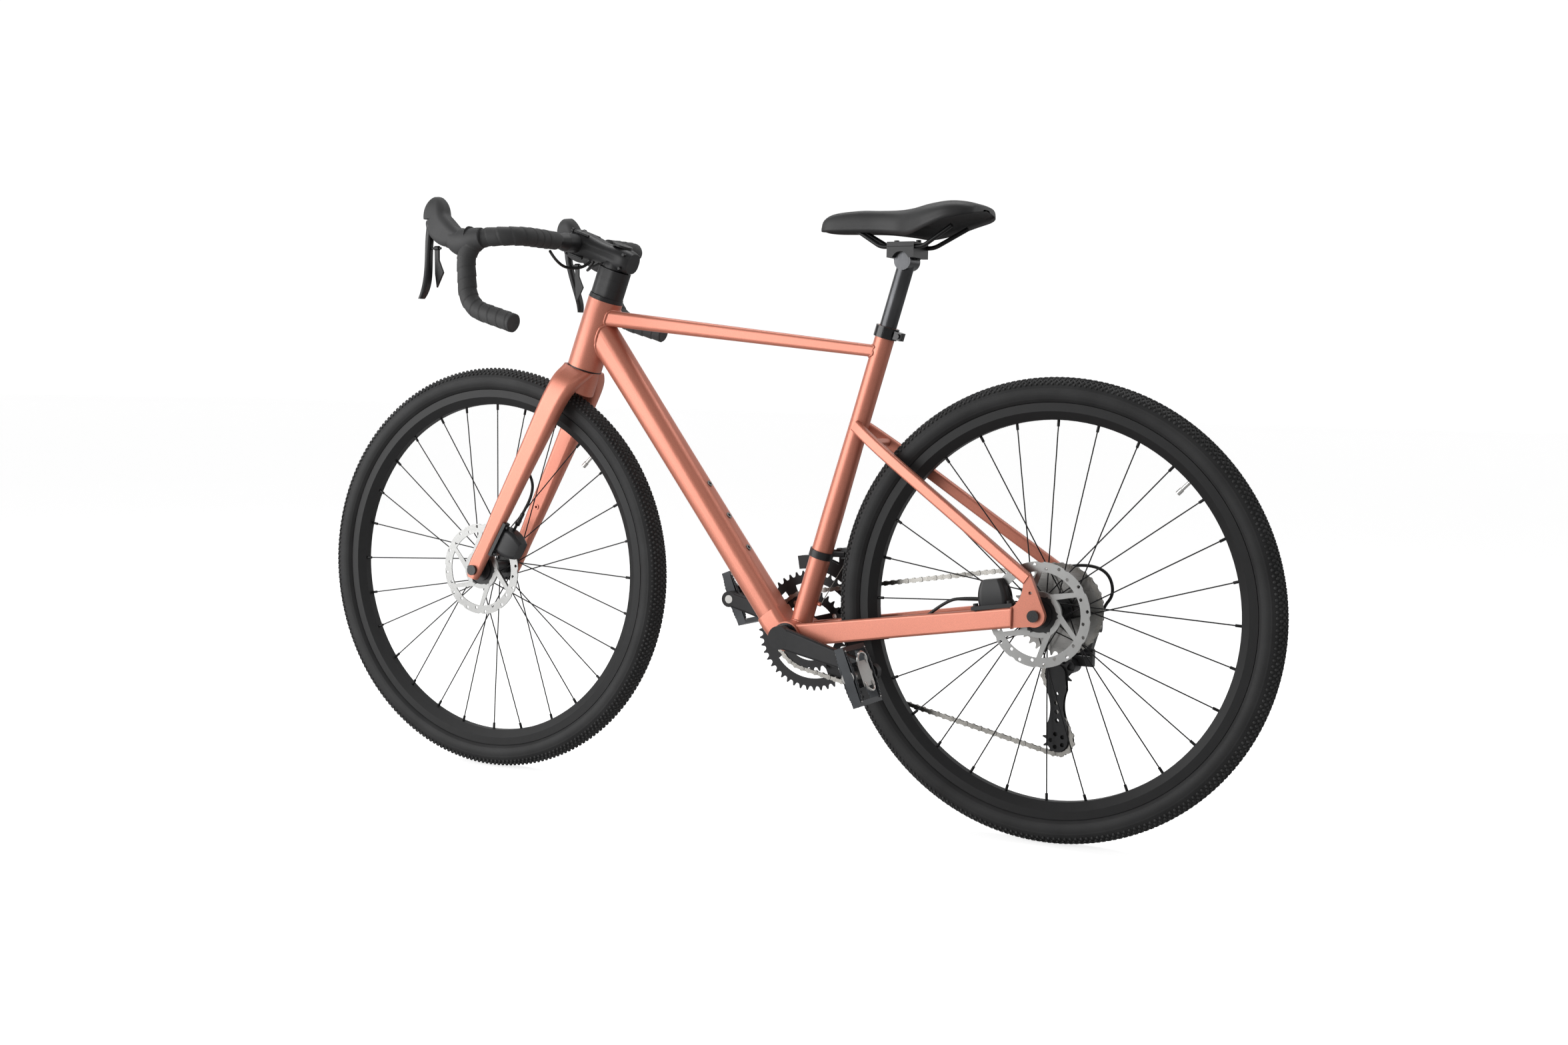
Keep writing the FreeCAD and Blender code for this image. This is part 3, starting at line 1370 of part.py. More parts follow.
paddle_corners = [paddle_pivot + AHEAD * ahead * size.paddle_width - UP * along * size.paddle_length
                  for ahead, along in PADDLE_SHARES]
paddle_outline = Part.makePolygon([Vector(p.x, 0, p.z) for p in paddle_corners + paddle_corners[:1]])
paddle_half = size.paddle_thickness / 2
paddle = flat(paddle_outline, paddle_pivot.y - paddle_half, paddle_pivot.y + paddle_half)
paddle_eye = rod(paddle_pivot - AHEAD * size.paddle_arm / 2, paddle_pivot + AHEAD * size.paddle_arm / 2,
                 size.paddle_thickness)
paddle = paddle.fuse(paddle_eye).removeSplitter()
paddle = paddle.cut(rod(paddle_pivot - AHEAD * size.paddle_width, paddle_pivot + AHEAD * size.paddle_width,
                        size.paddle_pin_radius + size.fit_gap))
for side, sign in SIDES:
    shaped(side + "_lever_hood", on_side(hood, sign))
    shaped(side + "_brake_lever", on_side(lever, sign))
    shaped(side + "_shift_paddle", on_side(paddle, sign))


# Wheels

def on_wheel(axle, radius, degrees, side):
    turn = math.radians(degrees)
    return axle + AHEAD * radius * math.cos(turn) + UP * radius * math.sin(turn) + SIDE * side


TYRE_LOW_SHARE = 0.42
TYRE_HIGH_SHARES = (0.68, 0.62)
ROTOR_HOLE_SHARES = (0.7, 0.3)


def tyre_ring(axle, inset):
    """A tyre outline spun about the axle; inset gives the hollow inside it."""
    tread = size.tyre_tread if inset else 0
    bead = size.tyre_bead_half_width - inset
    lip = size.rim_radius + size.tyre_lip_gap

    def at(side, radius):
        return axle + SIDE * side + UP * radius

    def half(sign):
        foot = at(sign * bead, size.tyre_bead_radius)
        neck = at(sign * bead, lip)
        flare = at(sign * (size.rim_half_width + size.joint_gap - inset), lip + size.joint_gap)
        belly = at(sign * (size.tyre_half_width - inset), size.tyre_side_radius)
        low = at(sign * (size.tyre_half_width - inset - size.tyre_low_tuck),
                 between(lip, size.tyre_side_radius, TYRE_LOW_SHARE))
        shoulder = at(sign * (size.tyre_shoulder_half_width - inset), size.tyre_shoulder_radius - tread)
        out = between(size.tyre_shoulder_half_width, size.tyre_half_width, TYRE_HIGH_SHARES[0]) - inset
        high = at(sign * out, between(size.tyre_side_radius, size.tyre_shoulder_radius - tread,
                                      TYRE_HIGH_SHARES[1]))
        return foot, neck, flare, low, belly, high, shoulder

    left, right = half(1), half(-1)
    edges = [
        Part.makeLine(right[0], left[0]), Part.makeLine(left[0], left[1]), Part.makeLine(left[1], left[2]),
        Part.Arc(left[2], left[3], left[4]).toShape(), Part.Arc(left[4], left[5], left[6]).toShape(),
        Part.Arc(left[6], at(0, size.tyre_radius - tread), right[6]).toShape(),
        Part.Arc(right[6], right[5], right[4]).toShape(), Part.Arc(right[4], right[3], right[2]).toShape(),
        Part.makeLine(right[2], right[1]), Part.makeLine(right[1], right[0]),
    ]
    return Part.Face(Part.Wire(edges)).revolve(axle, SIDE, 360)


def toothed(centre, teeth, phase, low, high):
    """A toothed disc between two places on Y; a roller seat lies at the phase angle."""
    step = 360 / teeth
    pitch_radius = size.chain_pitch / 2 / math.sin(math.pi / teeth)
    seat = size.roller_radius + size.tooth_seat_gap
    tip_turn = step / 2 - math.degrees(size.tooth_tip_width / 2 / pitch_radius)
    edges = []
    corners = []
    for i in range(teeth):
        angle = phase + i * step
        middle = on_wheel(centre, pitch_radius, angle, 0)
        turn = math.radians(angle)
        inward = (centre - middle).normalize()
        onward = AHEAD * -math.sin(turn) + UP * math.cos(turn)
        spread = math.radians(size.tooth_seat_angle)
        foot = middle + (inward * math.cos(spread) - onward * math.sin(spread)) * seat
        rise = middle + (inward * math.cos(spread) + onward * math.sin(spread)) * seat
        before = on_wheel(centre, pitch_radius + size.tooth_tip, angle - tip_turn, 0)
        after = on_wheel(centre, pitch_radius + size.tooth_tip, angle + tip_turn, 0)
        corners.append((before, foot, middle + inward * seat, rise, after))
    for i, (before, foot, bottom, rise, after) in enumerate(corners):
        edges.append(Part.makeLine(before, foot))
        edges.append(Part.Arc(foot, bottom, rise).toShape())
        edges.append(Part.makeLine(rise, after))
        edges.append(Part.makeLine(after, corners[(i + 1) % teeth][0]))
    return flat(Part.Wire(edges), low, high)


def spoke_lines(axle, flanges):
    """Hub end, flange centre and rim end of each spoke."""
    per_side = int(size.spoke_count) // 2
    lines = []
    for i in range(int(size.spoke_count)):
        sign = 1 if i % 2 == 0 else -1
        turn = 1 if (i // 2) % 2 == 0 else -1
        rim_angle = i * 360 / size.spoke_count
        hub_angle = rim_angle + turn * size.spoke_crossings * 360 / per_side
        flange = sign * flanges[0 if sign > 0 else 1]
        off = size.flange_thickness / 2 + size.spoke_radius + size.spoke_flange_gap
        start = on_wheel(axle, size.flange_circle_radius, hub_angle, flange + sign * turn * off)
        back = on_wheel(axle, size.flange_circle_radius, hub_angle, flange - sign * turn * off)
        end = on_wheel(axle, size.rim_bed_radius + size.nipple_inside, rim_angle, sign * size.spoke_stagger)
        lines.append((start, back, end))
    return lines


def rotor_pieces(axle, middle):
    """Disc, carrier, lockring and rivets of a brake rotor about a plane across Y."""
    half = size.rotor_thickness / 2
    low, high = middle - half, middle + half
    band_inner = size.rotor_radius - size.rotor_band
    disc = washer(axle, size.rotor_radius, band_inner, low, high)
    step = 360 / size.rotor_arms
    bridges = [washer(axle, size.carrier_radius, size.rotor_lug_radius, low, high)]
    for i in range(int(size.rotor_arms)):
        inner = on_wheel(axle, size.rotor_rivet_circle, i * step, 0)
        outer = on_wheel(axle, band_inner + size.rotor_arm_outer_radius, i * step + step / 2, 0)
        bridges.append(flat(hull(inner, size.rotor_arm_inner_radius, outer, size.rotor_arm_outer_radius), low, high))
    disc = disc.fuse(bridges).removeSplitter()
    cuts = []
    for i in range(int(size.rotor_holes)):
        depth_share = ROTOR_HOLE_SHARES[i % 2]
        angle = (2 * i + 1) * 180 / size.rotor_holes
        place = on_wheel(axle, size.rotor_radius - size.rotor_band * depth_share, angle, 0)
        cuts.append(across(place, size.rotor_hole_radius, low - over, high + over))
    for i in range(int(size.rotor_holes) // 2):
        place = on_wheel(axle, size.rotor_radius + size.rotor_scallop_radius - size.rotor_scallop,
                         i * 720 / size.rotor_holes, 0)
        cuts.append(across(place, size.rotor_scallop_radius, low - over, high + over))
    carrier_high = low - size.fit_gap
    carrier_low = carrier_high - size.carrier_thickness
    rivets = []
    rivet_holes = []
    for i in range(int(size.rotor_arms)):
        place = on_wheel(axle, size.rotor_rivet_circle, i * step, 0)
        rivets.append(across(place, size.rotor_rivet_radius, carrier_low, high + size.joint_gap))
        rivet_holes.append(across(place, size.rotor_rivet_radius + size.fit_gap, carrier_low - over, high + over))
    disc = disc.cut(cuts + rivet_holes)
    carrier = washer(axle, size.carrier_radius, size.carrier_bore + size.fit_gap, carrier_low, carrier_high)
    carrier = carrier.cut(rivet_holes)
    lock_low = carrier_high + size.fit_gap
    lockring = washer(axle, size.lockring_radius, size.hub_barrel_radius + size.fit_gap, lock_low,
                      lock_low + size.lockring_width)
    return [disc, carrier, lockring] + rivets, carrier_high


def wheel(name, axle, inside, rotor_inset, flanges, shell_right, cap_right):
    """All pieces of one wheel; returns the middle of its rotor."""
    bead = size.tyre_side_wall
    shaped(name + "_tyre", tyre_ring(axle, 0).cut(tyre_ring(axle, bead)))
    place = FreeCAD.Placement(axle, FreeCAD.Rotation())
    outer = [
        ("dims.rim_bed_radius", "-dims.rim_bed_half_width"),
        ("dims.rim_bed_radius", "dims.rim_bed_half_width"),
        ("(dims.rim_bed_radius + dims.rim_radius) / 2", "dims.rim_half_width"),
        ("dims.rim_radius", "dims.rim_half_width"),
        ("dims.rim_radius", "dims.rim_half_width - dims.rim_wall"),
        ("dims.rim_seat_radius", "dims.rim_half_width - dims.rim_wall"),
        ("dims.rim_seat_radius", "dims.rim_bed_half_width"),
        ("dims.rim_seat_radius - dims.rim_well_depth", "dims.rim_bed_half_width - dims.rim_well_depth"),
    ]
    loop = outer + [(radius, f"-({along})") for radius, along in reversed(outer[2:])]
    bed_inside = "dims.rim_bed_radius + dims.rim_wall"
    bridge_inside = "dims.rim_seat_radius - dims.rim_well_depth - dims.rim_wall"
    cavity = [(bed_inside, "dims.rim_bed_half_width - dims.rim_wall / 2"),
              (bridge_inside, "dims.rim_half_width - dims.rim_side_wall")]
    cavity = cavity + [(radius, f"-({along})") for radius, along in reversed(cavity)]
    rim_blank = turned(name + "_rim_blank", [loop, cavity], place)
    doc.recompute()

    spokes = []
    bores = []
    flange_holes = []
    lines = spoke_lines(axle, flanges)
    for start, back, end in lines:
        along = (end - start).normalize()
        spoke = rod(start, end, size.spoke_radius)
        elbow = rod(start, back, size.spoke_radius)
        head = rod(back, back + (back - start).normalize() * size.spoke_radius, size.spoke_head_radius)
        knee = Part.makeSphere(size.spoke_radius, start)
        spokes.append(spoke.fuse([knee, elbow, head]).removeSplitter())
        nipple_start = end - along * size.nipple_length
        nipple = rod(nipple_start, end, size.nipple_radius)
        spokes.append(nipple.cut(rod(nipple_start - along, end + along, size.spoke_radius + size.fit_gap)))
        bores.append(rod(nipple_start, end + along, size.nipple_radius + size.fit_gap))
        flange_holes.append(rod(start, back, size.spoke_radius + 2 * size.fit_gap))
    valve_foot = on_wheel(axle, size.rim_seat_radius, size.valve_angle, 0)
    valve_inward = (axle - valve_foot).normalize()
    valve_base = valve_foot + valve_inward * (size.rim_well_depth - size.fit_gap)
    valve_end = valve_foot + valve_inward * size.valve_length
    valve = biggest(rod(valve_foot, valve_end, size.valve_radius).fuse([
        rod(valve_foot, valve_base, size.valve_cap_radius),
        rod(valve_end - valve_inward * size.valve_cap_length, valve_end, size.valve_cap_radius),
    ]).removeSplitter())
    shaped(name + "_valve", valve)
    bores.append(rod(valve_foot, valve_end, size.valve_radius + size.fit_gap))
    rim = biggest(rim_blank.Shape.cut(bores))
    heavy = (rim.CenterOfMass - axle).dot(valve_inward) * -rim.Volume
    heavy = heavy + (valve.CenterOfMass - axle).dot(valve_inward) * -valve.Volume
    sleeve_moment = 2 * size.sleeve_half_width * (size.sleeve_high ** 3 - size.sleeve_low ** 3) / 3
    half_turn = math.asin(heavy / sleeve_moment / 2)
    corners = [axle + SIDE * side * size.sleeve_half_width + UP * radius for side, radius in (
        (-1, size.sleeve_low), (1, size.sleeve_low), (1, size.sleeve_high), (-1, size.sleeve_high))]
    sleeve = Part.Face(Part.makePolygon(corners + corners[:1])).revolve(axle, SIDE, math.degrees(2 * half_turn))
    middle_angle = 90 - math.degrees(half_turn)
    sleeve.rotate(axle, SIDE, -(size.valve_angle + 180 - middle_angle))
    shaped(name + "_rim", [rim, sleeve])
    shaped(name + "_spokes", spokes)

    rotor_middle = inside - rotor_inset
    rotor, seat_end = rotor_pieces(axle, rotor_middle)
    shaped(name + "_rotor", rotor)
    cap_left = inside - size.joint_gap
    barrel_left = seat_end + size.lockring_width
    hub = across(axle, size.hub_barrel_radius, -shell_right, barrel_left).fuse([
        across(axle, size.flange_radius, flanges[0] - size.flange_thickness / 2,
               flanges[0] + size.flange_thickness / 2),
        across(axle, size.flange_radius, -flanges[1] - size.flange_thickness / 2,
               size.flange_thickness / 2 - flanges[1]),
        across(axle, size.carrier_bore, flanges[0], seat_end),
        across(axle, size.hub_cap_radius, -cap_right, cap_left),
    ]).removeSplitter()
    bore = size.axle_radius + 2 * size.fit_gap
    hub_cuts = [across(axle, bore, -inside - over, inside + over)]
    hub_bearings = []
    for low, high in ((barrel_left - size.hub_bearing_width, barrel_left),
                      (-shell_right, size.hub_bearing_width - shell_right)):
        hub_bearings.append(washer(axle, size.hub_bearing_radius - 2 * size.fit_gap, bore,
                                   low + size.fit_gap, high - size.fit_gap))
        hub_cuts.append(across(axle, size.hub_bearing_radius - size.fit_gap, low, high))
    hub = hub.cut(hub_cuts + flange_holes)
    shaped(name + "_hub", list(hub.Solids) + hub_bearings)
    return rotor_middle


front_rotor = wheel("front", front_axle, size.fork_inside, size.front_rotor_inset,
                    (size.front_left_flange, size.front_right_flange),
                    size.fork_inside - size.front_rotor_inset, size.fork_inside - size.joint_gap)
rear_rotor = wheel("rear", rear_axle, size.dropout_inside, size.rear_rotor_inset,
                   (size.rear_left_flange, size.rear_right_flange), size.rear_shell_end, size.rear_shell_end)


# Chain line: pins stepped along the rings, pulleys and straight runs

def pitch_radius(teeth):
    return size.chain_pitch / 2 / math.sin(math.pi / teeth)


STEP_SHARES = (0.9, 1.2)
HALVINGS = 40
cassette_plane = -size.large_sprocket_offset
ring_plane = -size.small_ring_offset
guide_place = rear_axle - AHEAD * size.guide_back - UP * size.guide_drop


def belt(tension_lean):
    """Circles that the chain turns on: centre, radius, sense of turning, plane."""
    lean = math.radians(tension_lean)
    tension = guide_place + (AHEAD * math.sin(lean) - UP * math.cos(lean)) * size.pulley_spacing
    pulley = pitch_radius(size.pulley_teeth)
    return (
        (crank_axle, pitch_radius(size.small_ring_teeth), 1, ring_plane),
        (rear_axle, pitch_radius(SPROCKET_TEETH[0]), 1, cassette_plane),
        (guide_place, pulley, -1, cassette_plane),
        (tension, pulley, 1, cassette_plane),
    )


def belt_pieces(circles):
    """Arcs and straight runs in order, each as (length, function of distance)."""
    tangents = []
    count = len(circles)
    for i in range(count):
        centre, radius, sense, plane = circles[i]
        next_centre, next_radius, next_sense, next_plane = circles[(i + 1) % count]
        gap = next_centre - centre
        lean = math.asin((next_sense * next_radius - sense * radius) / gap.Length)
        heading = math.atan2(gap.z, gap.x) - lean
        normal = Vector(-math.sin(heading), 0, math.cos(heading))
        start = centre - normal * sense * radius + SIDE * plane
        end = next_centre - normal * next_sense * next_radius + SIDE * next_plane
        tangents.append((start, end))
    pieces = []
    for i in range(count):
        centre, radius, sense, plane = circles[i]
        enter = tangents[i - 1][1]
        leave, arrive = tangents[i]
        first = math.atan2(enter.z - centre.z, enter.x - centre.x)
        last = math.atan2(leave.z - centre.z, leave.x - centre.x)
        turn = (last - first) * sense % (2 * math.pi)

        def on_arc(s, centre=centre, radius=radius, first=first, sense=sense, plane=plane):
            return on_wheel(centre, radius, math.degrees(first + sense * s / radius), plane)

        def on_run(s, leave=leave, arrive=arrive):
            """A straight run that changes plane only away from the teeth."""
            span = math.hypot(arrive.x - leave.x, arrive.z - leave.z)
            lead = min(size.chain_lead, span / 4)
            aside = min(max((s - lead) / (span - 2 * lead), 0), 1)
            point = between(leave, arrive, s / span)
            return Vector(point.x, between(leave.y, arrive.y, aside), point.z)

        pieces.append((radius * turn, on_arc, i))
        pieces.append((math.hypot(arrive.x - leave.x, arrive.z - leave.z), on_run, None))
    return pieces


def walk(pieces):
    """Pins one pitch apart round the whole belt, and the distance left at the end."""
    total = sum(piece[0] for piece in pieces)

    def at(s):
        for length, place, owner in pieces:
            if s <= length:
                return place(s), owner
            s = s - length
        return pieces[0][1](s), pieces[0][2]

    spots = [0.0]
    while True:
        here = at(spots[-1])[0]
        low, high = [spots[-1] + size.chain_pitch * share for share in STEP_SHARES]
        for i in range(HALVINGS):
            middle = (low + high) / 2
            if (at(middle)[0] - here).Length < size.chain_pitch:
                low = middle
            else:
                high = middle
        if low > total + size.chain_pitch / 2:
            return [at(s) for s in spots], total - spots[-1]
        spots.append(low)


def slack(lean, count):
    """How far the pin after the last one falls beyond the first."""
    pieces = belt_pieces(belt(lean))
    pins, left = walk(pieces)
    return (len(pins) - 1 - count) * size.chain_pitch + left


pins, left_over = walk(belt_pieces(belt(0)))
pin_count = 2 * round((len(pins) - 1 + left_over / size.chain_pitch) / 2)
low_lean, high_lean = -size.tension_lean_limit, size.tension_lean_limit
low_slack = slack(low_lean, pin_count)
for i in range(HALVINGS):
    lean = (low_lean + high_lean) / 2
    if (slack(lean, pin_count) > 0) == (low_slack > 0):
        low_lean = lean
    else:
        high_lean = lean
circles = belt(lean)
pins, left_over = walk(belt_pieces(circles))
pins = pins[:pin_count]
tension_place = circles[-1][0]
print("chain pins", pin_count, "tension lean", lean, "left", slack(lean, pin_count))


def phase_of(owner):
    """The angle of the first pin that lies on a ring or pulley."""
    centre = circles[owner][0]
    point = next(pin for pin, on in pins if on == owner)
    return math.degrees(math.atan2(point.z - centre.z, point.x - centre.x))


def link_blank(low, high):
    """A waisted plate of one pitch along X, between two places on Y."""
    pitch = AHEAD * size.chain_pitch
    ends = [across(Vector(), size.link_end_radius, low, high), across(pitch, size.link_end_radius, low, high)]
    waist = block(Vector(0, low, -size.link_waist), Vector(size.chain_pitch, high, size.link_waist))
    return waist.fuse(ends).removeSplitter()


inner_low = size.roller_half
inner_high = inner_low + size.link_plate
outer_low = inner_high + size.link_side_gap
outer_high = outer_low + size.link_plate
inner_link = link_blank(inner_low, inner_high).fuse([link_blank(-inner_high, -inner_low)])
outer_link = link_blank(outer_low, outer_high).fuse([link_blank(-outer_high, -outer_low)])
pin_bores = []
for ahead in (0, size.chain_pitch):
    eye = AHEAD * ahead
    inner_link = inner_link.fuse(across(eye, size.roller_radius, -inner_high, inner_high))
    outer_link = outer_link.fuse(across(eye, size.pin_radius, -size.pin_half, size.pin_half))
    pin_bores.append(across(eye, size.pin_radius + size.fit_gap, -size.pin_half, size.pin_half))
inner_link = biggest(inner_link.removeSplitter().cut(pin_bores))
outer_link = biggest(outer_link.removeSplitter())
links = []
for i in range(pin_count):
    here = pins[i][0]
    there = pins[(i + 1) % pin_count][0]
    ahead = (there - here).normalize()
    side = (SIDE - ahead * ahead.y).normalize()
    link = (outer_link if i % 2 == 0 else inner_link).copy()
    link.Placement = FreeCAD.Placement(here, FreeCAD.Rotation(ahead, side, ahead.cross(side), "XYZ"))
    links.append(link)
shaped("chain", links)


# Cassette: sprockets, spacers, freehub and lockring

half_sprocket = size.sprocket_thickness / 2
freehub_bore = size.axle_radius + 2 * size.fit_gap
cassette = []
for i, teeth in enumerate(SPROCKET_TEETH):
    plane = cassette_plane - i * size.sprocket_pitch
    phase = phase_of(1) if i == 0 else 0
    disc = toothed(rear_axle, teeth, phase, plane - half_sprocket, plane + half_sprocket)
    cassette.append(disc.cut(across(rear_axle, size.freehub_radius + size.fit_gap, plane - over, plane + over)))
    spacer_end = plane - size.sprocket_pitch + half_sprocket + size.fit_gap
    cassette.append(washer(rear_axle, size.freehub_radius + size.rotor_rivet_radius,
                           size.freehub_radius + size.fit_gap, plane - half_sprocket - size.fit_gap, spacer_end))
lock_start = plane - size.sprocket_pitch
freehub_start = -size.rear_shell_end - size.joint_gap
freehub = washer(rear_axle, size.freehub_radius, freehub_bore, freehub_start, lock_start)
lock = washer(rear_axle, size.freehub_radius + size.lockring_width, freehub_bore, lock_start - size.fit_gap,
              size.joint_gap - size.dropout_inside)
shaped("cassette", cassette[:-1] + [freehub, lock])


# Cranks, chainrings, pedal spindles and pedals

def crank_way(sign):
    """Direction of the left (1) or right (-1) crank arm."""
    turn = math.radians(size.crank_angle)
    return (AHEAD * math.cos(turn) + UP * math.sin(turn)) * -sign


CRANK_SHARES = ((0, 0, 1.32), (0.35, 0.2, 1.15), (0.7, 0.7, 0.98), (1, 1, 0.94))
ring_half = size.ring_thickness / 2
spider_low = ring_half + size.fit_gap * 2 - size.large_ring_offset
spider_high = ring_plane - ring_half - size.fit_gap * 2
arm_faces = size.crank_inside + size.crank_thickness
crank_solids = []
for side, sign in SIDES:
    way = crank_way(sign)
    eye = crank_axle + way * size.crank_length
    boss = across(crank_axle, size.crank_boss_radius, sign * size.crank_inside, sign * arm_faces)
    tip = across(eye, size.crank_eye_radius, sign * (size.crank_inside + size.crank_flare),
                 sign * (arm_faces + size.crank_flare))
    middle = SIDE * sign * (size.crank_inside + size.crank_thickness / 2)
    flare = SIDE * sign * size.crank_flare
    stations = []
    for along_share, flare_share, height_share in CRANK_SHARES:
        centre = between(crank_axle, eye, along_share) + middle + flare * flare_share
        stations.append((centre, way, size.crank_thickness, 2 * size.crank_eye_radius * height_share))
    beam = loft(stations, BOX_ROUND_SHARE)
    arm = boss.fuse([tip, beam]).removeSplitter()
    thread = across(eye, size.pedal_thread_radius + size.fit_gap, sign * size.crank_inside,
                    sign * (arm_faces + 2 * size.crank_flare))
    crank_solids.append(biggest(arm.cut(thread)))
spindle = washer(crank_axle, size.spindle_radius, size.spindle_bore, -size.crank_inside, size.crank_inside)
spider = [across(crank_axle, size.cup_flange_radius, -size.crank_inside, spider_high)]
bolt_places = []
arm_step = 360 / size.spider_arms
for i in range(int(size.spider_arms)):
    angle = size.crank_angle + arm_step * (2 * i + 1) / 2
    place = on_wheel(crank_axle, size.ring_bolt_circle, angle, 0)
    bolt_places.append(place)
    spider.append(flat(hull(crank_axle, size.cup_flange_radius, place, size.ring_tab_radius), spider_low, spider_high))
cup_room = across(crank_axle, size.cup_flange_radius + size.joint_gap, 0,
                  -shell_half - size.cup_flange - size.joint_gap)
spider = spider[0].fuse(spider[1:]).cut(cup_room)
right_arm = crank_solids[1].fuse([spider, spindle]).removeSplitter()
left_arm = crank_solids[0].cut(across(crank_axle, size.spindle_radius, 0, size.crank_inside))
bolt_cuts = []
ring_bolts = []
for place in bolt_places:
    bolt_low = -size.large_ring_offset - ring_half - size.ring_thickness / 2
    bolt_high = ring_plane + ring_half
    ring_bolts.append(across(place, size.ring_bolt_radius, bolt_low, bolt_high))
    bolt_cuts.append(across(place, size.ring_bolt_radius + size.fit_gap, -size.crank_inside - over, 0))
right_arm = right_arm.cut(bolt_cuts)
right_arm = right_arm.cut(across(crank_axle, size.spindle_bore, -size.crank_inside - over, size.crank_inside))
shaped("crank_arms", [biggest(right_arm), biggest(left_arm)])

large_low = -size.large_ring_offset - ring_half
large_ring = toothed(crank_axle, int(size.large_ring_teeth), 0, large_low, large_low + size.ring_thickness)
large_ring = large_ring.cut(across(crank_axle, size.large_ring_inner_radius, large_low - over, 0))
small_ring = toothed(crank_axle, int(size.small_ring_teeth), phase_of(0), ring_plane - ring_half,
                     ring_plane + ring_half)
small_ring = small_ring.cut(across(crank_axle, size.ring_inner_radius, -arm_faces, 0))
tabs = []
for place in bolt_places:
    outward = (place - crank_axle).normalize()
    root = crank_axle + outward * (size.large_ring_inner_radius + size.ring_root_depth)
    tabs.append(flat(hull(place, size.ring_tab_radius, root, size.ring_root_radius),
                     large_low, large_low + size.ring_thickness))
tab_room = washer(crank_axle, size.large_ring_inner_radius + size.ring_root_depth,
                  size.ring_bolt_circle - size.ring_tab_radius, large_low, large_low + size.ring_thickness)
large_ring = large_ring.fuse([tab.common(tab_room) for tab in tabs]).removeSplitter()
small_tabs = [across(place, size.ring_tab_radius, ring_plane - ring_half, ring_plane + ring_half)
              for place in bolt_places]
small_ring = small_ring.fuse(small_tabs).removeSplitter()
shaped("chainrings", [biggest(large_ring.cut(bolt_cuts)), biggest(small_ring.cut(bolt_cuts))] + ring_bolts)

spindles = []
pedal_start = arm_faces + size.crank_flare + size.pedal_flange + size.joint_gap
pedal_end = pedal_start + size.pedal_width
for side, sign in SIDES:
    eye = crank_axle + crank_way(sign) * size.crank_length
    spindles.append(across(eye, size.pedal_thread_radius, sign * (size.crank_inside + size.crank_flare),
                           sign * (arm_faces + size.crank_flare)).fuse([
        across(eye, size.pedal_flange_radius, sign * (arm_faces + size.crank_flare + size.fit_gap),
               sign * (arm_faces + size.crank_flare + size.pedal_flange)),
        across(eye, size.pedal_spindle_radius, sign * size.crank_inside + sign * size.crank_flare,
               sign * (pedal_end - size.pedal_rim)),
    ]).removeSplitter())
    long = size.pedal_length / 2
    thin = size.pedal_thickness / 2
    pedal = block(Vector(-long, pedal_start, -thin), Vector(long, pedal_end, thin))
    windows = []
    for low, high in ((size.pedal_rim - long, -size.pedal_window_start),
                      (size.pedal_window_start, long - size.pedal_rim)):
        windows.append(block(Vector(low, pedal_start + size.pedal_rim, -thin),
                             Vector(high, pedal_end - size.pedal_rim, thin)))
    clip_half = size.pedal_clip_length / 2
    clip_middle = (pedal_start + pedal_end) / 2
    clip = block(Vector(-clip_half, clip_middle - size.pedal_clip_width / 2, -size.pedal_clip_height / 2),
                 Vector(clip_half, clip_middle + size.pedal_clip_width / 2, size.pedal_clip_height / 2))
    pedal = pedal.cut(windows).fuse([clip, across(Vector(), size.pedal_barrel_radius, pedal_start, pedal_end)])
    pedal = pedal.removeSplitter().cut(across(Vector(), size.pedal_spindle_radius + size.fit_gap, 0,
                                              pedal_end - size.pedal_rim + size.joint_gap))
    pedal = on_side(biggest(pedal), sign)
    pedal.rotate(Vector(), SIDE, -size.pedal_tilt)
    pedal.translate(Vector(eye.x, 0, eye.z))
    shaped(side + "_pedal", pedal)
shaped("pedal_spindles", spindles)


# Front derailleur: band and body on the seat tube, cage on a pin along X

swing = crank_axle - AHEAD * size.swing_back - SIDE * size.swing_side + UP * size.swing_height
band_middle = crank_axle + seat_up * size.band_along
band_half = seat_up * size.band_height / 2
band_outer = size.seat_tube_low_radius + size.fit_gap + size.band_thickness
seat_room = rod(crank_axle, crank_axle + seat_up * size.seat_tube_taper_low,
                size.seat_tube_low_radius + size.fit_gap)
half_block = size.derailleur_block / 2
block_middle = swing - AHEAD * (size.derailleur_block + size.joint_gap)
block_low = block_middle - Vector(half_block, half_block, size.derailleur_block_height / 2)
block_high = block_middle + Vector(half_block, size.derailleur_block, half_block)
neck_start = Vector(block_middle.x, block_high.y, band_middle.z)
shifter = rod(band_middle - band_half, band_middle + band_half, band_outer).fuse([
    block(block_low, block_high),
    rod(neck_start, band_middle - AHEAD * size.band_thickness, size.derailleur_neck_radius),
    rod(block_middle, swing + AHEAD * size.swing_arm_width, size.swing_pin_radius),
]).removeSplitter()
shaped("front_derailleur_body", biggest(shifter.cut(seat_room)))

